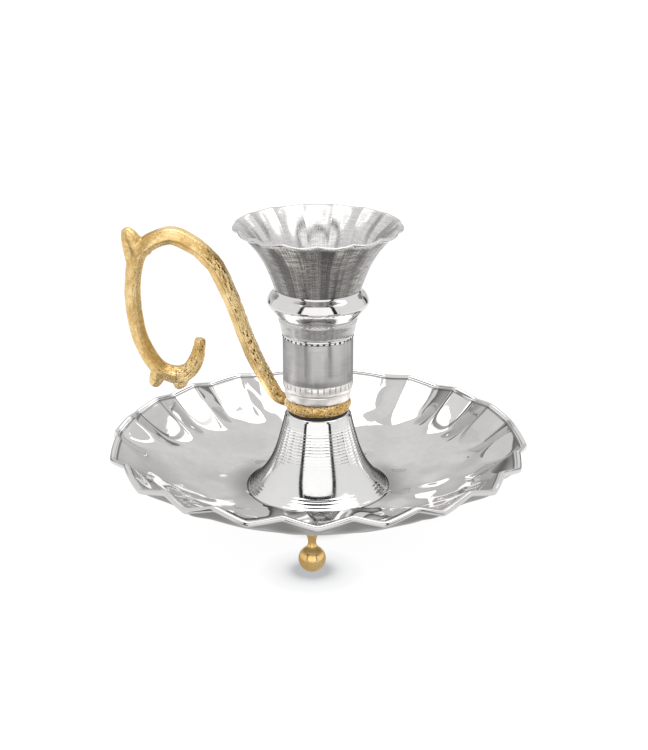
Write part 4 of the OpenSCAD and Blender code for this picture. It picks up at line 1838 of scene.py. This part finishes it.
    def grain(self, points: np.ndarray, line: np.ndarray) -> tuple[np.ndarray, np.ndarray]:
        """Lays the grain along the bar, round the eye and straight on the spurs.

        Args:
            points: Points of the casting, in metres.
            line: Middle of the bar, in millimetres.

        Returns:
            The grain's own coordinates at each point, in millimetres, and how rough it is.
        """
        flat = points[:, [0, 2]] / MM
        across = points[:, 1] / MM
        along = np.concatenate([[0.0], np.cumsum(np.linalg.norm(np.diff(line, axis=0), axis=1))])
        nearest = np.array([np.argmin(((line - p) ** 2).sum(axis=1)) for p in flat])
        ways = np.gradient(line, axis=0)
        ways /= np.linalg.norm(ways, axis=1)[:, None]
        side = ((flat - line[nearest]) * np.stack([-ways[nearest, 1], ways[nearest, 0]], axis=1)).sum(axis=1)
        radius = np.hypot(points[:, 0], points[:, 1])
        eye = (radius < (self.eye_r + 0.6) * MM) & (points[:, 2] < (LEVEL.sleeve + 0.3) * MM)
        turn = np.arctan2(points[:, 0], -points[:, 1])
        lay = np.stack([along[nearest] * self.grain_stretch, side, across], axis=1)
        spur = np.abs(side) > self.spur_off
        lay[spur] = np.stack([flat[:, 0] * self.grain_stretch, flat[:, 1], across], axis=1)[spur]
        lay[eye] = np.stack([turn * self.eye_r * self.eye_stretch, flat[:, 1], radius / MM], axis=1)[eye]
        reach = along[nearest] / along[-1]
        bark_side, bark_ease, bark_end, bark_fade = 0.8, 1.2, 0.42, 0.06
        curl_start, curl_fade = 0.84, 0.05
        smooth_crust, curl_crust, eye_crust = 0.22, 0.75, 0.85
        bark = (np.clip((bark_side - side) / bark_ease, 0.0, 1.0)
                * np.clip((bark_end - reach) / bark_fade, 0.0, 1.0))
        curl = np.clip((reach - curl_start) / curl_fade, 0.0, 1.0) * curl_crust
        crust = np.maximum(smooth_crust + (1.0 - smooth_crust) * bark, curl)
        crust[eye] = eye_crust
        return lay, crust


@dataclass
class Feet:
    """Three turned ball feet with their bosses.

    A point of a boss is its radius and its share of the way up from the foot to the dish.
    """

    circle: float = 46.0
    turn: float = -3.0
    ball_r: float = 5.6
    ball_z: float = 5.395
    neck_turn: float = 146.0
    flat_r: float = 1.5
    flare_r: float = 3.0
    height: float = 17.0
    stud_r: float = 1.5
    stud_length: float = 0.7
    around: int = 64
    boss_around: int = 48
    boss: Sequence[Pair] = ((2.95, 0.0), (3.2, 0.3), (3.7, 0.7), (4.5, 1.0))
    sink: float = 0.7
    places: dict[str, float] = field(default_factory=lambda: {
        "foot_front": 0.0, "foot_rear_right": 120.0, "foot_rear_left": 240.0})

    def outline(self) -> list[Pair]:
        """Profile of a foot, from the flat it stands on to the top of its stud.

        Returns:
            The outline, both of whose ends lie on the axis.
        """
        low = math.degrees(math.asin(self.flat_r / self.ball_r))
        ball = [(self.ball_r * math.sin(a), self.ball_z - self.ball_r * math.cos(a))
                for a in np.radians(np.linspace(low, self.neck_turn, 30))]
        neck = [ball[-1], (2.52, 10.52), (2.06, 11.05), (1.80, 11.7), (1.66, 12.5), (1.68, 13.4),
                (1.84, 14.4), (2.12, 15.3), (2.5, 16.1), (self.flare_r, self.height)]
        top = self.height + self.stud_length
        return ([(0.0, 0.0), (self.flat_r * 0.9, 0.0)] + ball + smooth_line(neck, 3)[1:].tolist()
                + [(self.stud_r, self.height), (self.stud_r, top), (0.0, top)])

    def centre(self, place: float) -> Pair:
        """Axis of the foot at a place round the dish."""
        turn = math.radians(place + self.turn)
        return self.circle * math.sin(turn) * MM, -self.circle * math.cos(turn) * MM

    def bosses(self, dish: Dish, steel: bpy.types.Material) -> None:
        """Makes the bosses that take the feet.

        Args:
            dish: The dish, whose underside their tops follow.
            steel: Steel of the bosses.
        """
        line, low = np.array(self.boss), self.height * MM
        faces = capped_faces(len(line), self.boss_around)
        blocks = []
        for place in self.places.values():
            x, y = self.centre(place)
            rings = turn_rings(line[:, 0] * MM, line[:, 1], self.boss_around) + np.array([x, y, 0.0])
            block = np.concatenate([rings.reshape(-1, 3), [(x, y, 0.0), (x, y, 1.0)]])
            out = np.hypot(block[:, 0], block[:, 1]) / MM - dish.floor_r
            sheet = LEVEL.dish + dish.arc_r - np.sqrt(dish.arc_r ** 2 - out ** 2) + self.sink
            block[:, 2] = low + block[:, 2] * (sheet * MM - low)
            blocks.append(block)
        step = len(blocks[0])
        piece = add_piece("turned_bosses", np.concatenate(blocks), [
            tuple(i + step * n for i in face) for n in range(len(blocks)) for face in faces])
        keep(piece, Slot.PLAIN, steel, "foot_bosses")

    def build(self, gold: bpy.types.Material, steel: bpy.types.Material) -> None:
        """Makes the three feet and their bosses.

        Args:
            gold: Gold plate of the feet.
            steel: Steel of the bosses.
        """
        for node, place in self.places.items():
            foot = turn_piece(node + "_turned", self.outline(), self.around, self.centre(place), solid=True)
            foot.visible_glossy = False
            keep(foot, Slot.TURNED_GOLD, gold, node)
        self.bosses(Dish(), steel)


# Studio


@dataclass(frozen=True)
class Card:
    """A flat studio card that only polished metal sees.

    Attributes:
        name: Name of the card.
        corners: Its four corners, in metres; the first two are its lower edge.
        glow: Brightness at its lower and at its upper edge, where 1 is white.
    """

    name: str
    corners: tuple[Triple, ...]
    glow: Pair


def window_bar(name: str, low: Pair, high: Pair, span: Pair, glow: float) -> Card:
    """Card in the plane of the leaning window before the object.

    Args:
        name: Name of the card.
        low: Left and right end of its lower edge.
        high: Left and right end of its upper edge.
        span: Height of its lower and of its upper edge.
        glow: Its brightness.

    Returns:
        The card.
    """
    foot, lean = -1.07, 0.155
    y0, y1 = (foot + lean * z for z in span)
    return Card(name, ((low[0], y0, span[0]), (low[1], y0, span[0]), (high[1], y1, span[1]),
                       (high[0], y1, span[1])), (glow, glow))


def lamp_scrim(name: str, across: Pair, back: Pair, glow: float) -> Card:
    """Card close under the lamp, which greys a part of it.

    Args:
        name: Name of the card.
        across: Its left and right edge.
        back: Its front and rear edge.
        glow: Its brightness.

    Returns:
        The card.
    """
    low, high = 0.794, 0.796
    return Card(name, ((across[0], back[0], low), (across[1], back[0], low), (across[1], back[1], high),
                       (across[0], back[1], high)), (glow, glow))


def upright(name: str, left: Pair, right: Pair, span: Pair, glow: Pair) -> Card:
    """Card that stands upright behind the object.

    Args:
        name: Name of the card.
        left: Place of its left edge.
        right: Place of its right edge.
        span: Height of its lower and of its upper edge.
        glow: Its brightness below and above.

    Returns:
        The card.
    """
    return Card(name, ((*left, span[0]), (*right, span[0]), (*right, span[1]), (*left, span[1])), glow)


@dataclass
class Studio:
    """Floor, lamp, cards and camera, with sizes in metres."""

    camera_back: float = 0.69981
    camera_up: float = 0.31978
    camera_pitch: float = 19.767
    focal: float = 84.88
    shift: float = 0.008
    floor_half: float = 3.0
    paper: float = 0.95
    contact_reach: float = 0.0168
    contact_tone: Colour = (0.47, 0.485, 0.51)
    under_reach: float = 0.12
    under_tone: Colour = (0.52, 0.515, 0.51)
    lamp_height: float = 0.8
    lamp_span: tuple[float, float, float, float] = (-0.42, 0.66, -0.28, 0.46)
    lamp_glow: float = 1.8
    cards: tuple[Card, ...] = (
        window_bar("window_pane", (-0.80, 0.72), (-0.63, 0.58), (0.0, 1.40), 1.35),
        window_bar("window_post_left", (-1.08, -0.80), (-0.86, -0.62), (0.0, 1.9), 0.02),
        window_bar("window_post_right", (0.72, 0.98), (0.58, 0.80), (0.0, 1.9), 0.02),
        window_bar("window_head", (-0.62, 0.58), (-0.62, 0.58), (1.40, 2.7), 0.02),
        Card("floor_gap_left", ((-0.047, -0.121, 0.0004), (-0.085, -0.098, 0.0004), (-0.722, -0.830, 0.0006),
                                (-0.394, -1.027, 0.0006)), (0.16, 0.16)),
        Card("floor_gap_right", ((0.047, -0.121, 0.0004), (0.100, -0.084, 0.0004), (0.843, -0.707, 0.0006),
                                 (0.394, -1.027, 0.0006)), (0.50, 0.50)),
        lamp_scrim("lamp_scrim", (-0.35, -0.145), (-0.15, 0.05), 1.08),
        lamp_scrim("lamp_scrim_rear", (-0.42, -0.20), (0.15, 0.46), 0.92),
        lamp_scrim("lamp_scrim_right", (0.30, 0.66), (0.055, 0.335), 0.92),
        upright("back_wall", (-2.4, 1.6), (2.4, 1.6), (0.0, 0.95), (0.62, 0.97)),
        upright("back_post_left", (-0.96, 0.90), (-0.80, 1.04), (0.0, 0.45), (0.03, 0.03)),
        upright("back_post_right", (0.80, 1.04), (0.96, 0.90), (0.0, 0.45), (0.03, 0.03)),
        upright("side_flag_left", (-1.065, 0.77), (-0.549, 1.2), (0.18, 0.75), (0.85, 0.20)),
        upright("side_flag_right", (0.80, 1.05), (1.04, 0.80), (0.48, 0.80), (0.30, 0.30)))

    def camera(self) -> None:
        """Places the camera at the photograph's angle."""
        data = bpy.data.cameras.new("camera")
        data.sensor_fit = "VERTICAL"
        data.sensor_height = 36.0
        data.lens = self.focal
        data.shift_x = self.shift
        data.clip_start = 0.05
        eye = place_object("camera", data)
        eye.location = (0.0, -self.camera_back, self.camera_up)
        eye.rotation_euler = (math.radians(90.0 - self.camera_pitch), 0.0, 0.0)
        bpy.context.scene.camera = eye

    @staticmethod
    def seen(bench: Bench) -> bpy.types.NodeSocket:
        """Finds the rays that see the studio: those of the camera, of gloss and of glass.

        Args:
            bench: The bench of the floor or of the world.

        Returns:
            One for those rays and zero for the rest.
        """
        path = bench.add("ShaderNodeLightPath")
        return bench.math("MAXIMUM", path.outputs["Is Camera Ray"], bench.math(
            "MAXIMUM", path.outputs["Is Glossy Ray"], path.outputs["Is Transmission Ray"]))

    def floor(self) -> None:
        """Lays a plain white floor, on which the object keeps its shadow."""
        half = self.floor_half
        plane = add_piece("floor", [(-half, -half, 0), (half, -half, 0), (half, half, 0), (-half, half, 0)],
                          [(0, 1, 2, 3)])
        bench, shader, _ = start_material("floor_paper")
        shader.inputs["Base Color"].default_value = (0.9, 0.9, 0.9, 1.0)
        shader.inputs["Roughness"].default_value = 0.9
        thin = bench.add("ShaderNodeBsdfDiffuse")
        thin.inputs["Color"].default_value = (0.12, 0.12, 0.12, 1.0)
        contact, under = (bench.add("ShaderNodeAmbientOcclusion", samples=16) for _ in range(2))
        contact.inputs["Distance"].default_value = self.contact_reach
        under.inputs["Distance"].default_value = self.under_reach
        seen = blend_colour(bench, bench.spread(contact.outputs["AO"], 0.78, 0.992, smooth=False),
                            self.contact_tone, WHITE)
        mirrored = blend_colour(bench, bench.spread(under.outputs["AO"], 0.2, 1.0), self.under_tone, WHITE)
        glow = bench.add("ShaderNodeEmission")
        bench.feed(glow.inputs["Color"], blend_colour(
            bench, bench.add("ShaderNodeLightPath").outputs["Is Glossy Ray"], seen, mirrored))
        glow.inputs["Strength"].default_value = self.paper
        both = bench.add("ShaderNodeAddShader")
        bench.feed(both.inputs[0], thin.outputs[0])
        bench.feed(both.inputs[1], glow.outputs[0])
        mixed = bench.add("ShaderNodeMixShader")
        bench.feed(mixed.inputs[0], self.seen(bench))
        bench.feed(mixed.inputs[1], shader.outputs[0])
        bench.feed(mixed.inputs[2], both.outputs[0])
        surface = next(n for n in bench.tree.nodes if n.type == "OUTPUT_MATERIAL")
        bench.feed(surface.inputs["Surface"], mixed.outputs[0])
        plane.data.materials.append(bench.material)

    def world(self) -> None:
        """White surroundings for the camera and the gloss, and plainer light for the rest."""
        world = bpy.data.worlds.new("studio_air")
        world.use_nodes = True
        bpy.context.scene.world = world
        bench = Bench(world.node_tree)
        back = next(n for n in world.node_tree.nodes if n.type == "BACKGROUND")
        back.inputs["Color"].default_value = (1.0, 1.0, 1.0, 1.0)
        bench.feed(back.inputs["Strength"], bench.spread(self.seen(bench), 0.0, 1.0, 0.8, 1.0, smooth=False))

    def lamp(self) -> None:
        """Hangs the soft lamp over the object."""
        left, right, front, back = self.lamp_span
        data = bpy.data.lights.new("ceiling_lamp", "AREA")
        data.shape = "RECTANGLE"
        data.size, data.size_y = right - left, back - front
        data.energy = self.lamp_glow * data.size * data.size_y * math.pi
        light = place_object("ceiling_lamp", data)
        light.location = ((left + right) / 2, (front + back) / 2, self.lamp_height)
        light.visible_camera = False

    @staticmethod
    def stand(card: Card) -> None:
        """Stands one card up, out of the camera's sight.

        Args:
            card: The card.
        """
        piece = add_piece(card.name, card.corners, [(0, 1, 2, 3)])
        material = bpy.data.materials.new(card.name)
        material.use_nodes = True
        bench = Bench(material.node_tree)
        bench.tree.nodes.clear()
        place = bench.split(bench.add("ShaderNodeTexCoord").outputs["Object"])
        glow = bench.add("ShaderNodeEmission")
        low, high = card.corners[0][2], card.corners[2][2]
        bench.feed(glow.inputs["Strength"], bench.spread(
            place.outputs[2], low, high, *card.glow, smooth=False))
        bench.feed(bench.add("ShaderNodeOutputMaterial").inputs["Surface"], glow.outputs[0])
        piece.data.materials.append(material)
        piece.visible_camera = piece.visible_diffuse = piece.visible_shadow = False

    def build(self) -> None:
        """Sets the studio up."""
        bpy.context.scene.view_settings.view_transform = "Standard"
        self.camera()
        self.floor()
        self.world()
        self.lamp()
        for card in self.cards:
            self.stand(card)


# The whole candlestick


def dress_cad(materials: dict[Slot, bpy.types.Material]) -> None:
    """Gives every CAD node that no piece replaces its procedural material.

    Args:
        materials: The material of each slot.
    """
    replaced = {"dish", "bell_base", "handle", "cup_sleeve", "ferrule_ring", "collar_bead", "trumpet",
                "foot_front", "foot_rear_left", "foot_rear_right", "foot_bosses"}
    slots = {part["node"]: Slot(part["material_slot"]) for part in frame["record"]["subparts"]}
    for node, solid in frame["nodes"].items():
        if node not in replaced:
            solid.data.materials.clear()
            solid.data.materials.append(materials[slots[node]])
            log.info("%s: CAD solid in %s", node, slots[node].value)


def main() -> None:
    """Builds the candlestick piece by piece."""
    logging.basicConfig(level=logging.INFO, format="%(name)s: %(message)s")
    groups, trees = Groups(), Trees()
    finish = {f.name: f.build(groups) for f in FINISHES}
    Studio().build()
    Dish().build(trees, finish["mirror_steel"])
    BellBase().build(finish["spun_steel"])
    CandleCup().build(trees, CupFinishes(
        tube=finish["satin_steel"], heel=finish["pale_steel"], bright=finish["bright_steel"],
        soft=finish["soft_steel"], dark=finish["dot_shade_steel"]))
    Collar().build(finish["bright_steel"])
    Trumpet().build(trees, finish["shade_painted_crossed_steel"], finish["inner_steel"])
    Handle().build(finish["cast_gold"])
    Feet().build(finish["turned_gold"], finish["fastener_steel"])
    dress_cad({Slot.POLISHED: finish["mirror_steel"], Slot.BRUSHED: finish["shade_painted_crossed_steel"],
               Slot.CAST_GOLD: finish["cast_gold"], Slot.TURNED_GOLD: finish["turned_gold"],
               Slot.PLAIN: finish["fastener_steel"], Slot.FIBRE: finish["black_fibre"]})


if __name__ == "__main__":
    main()
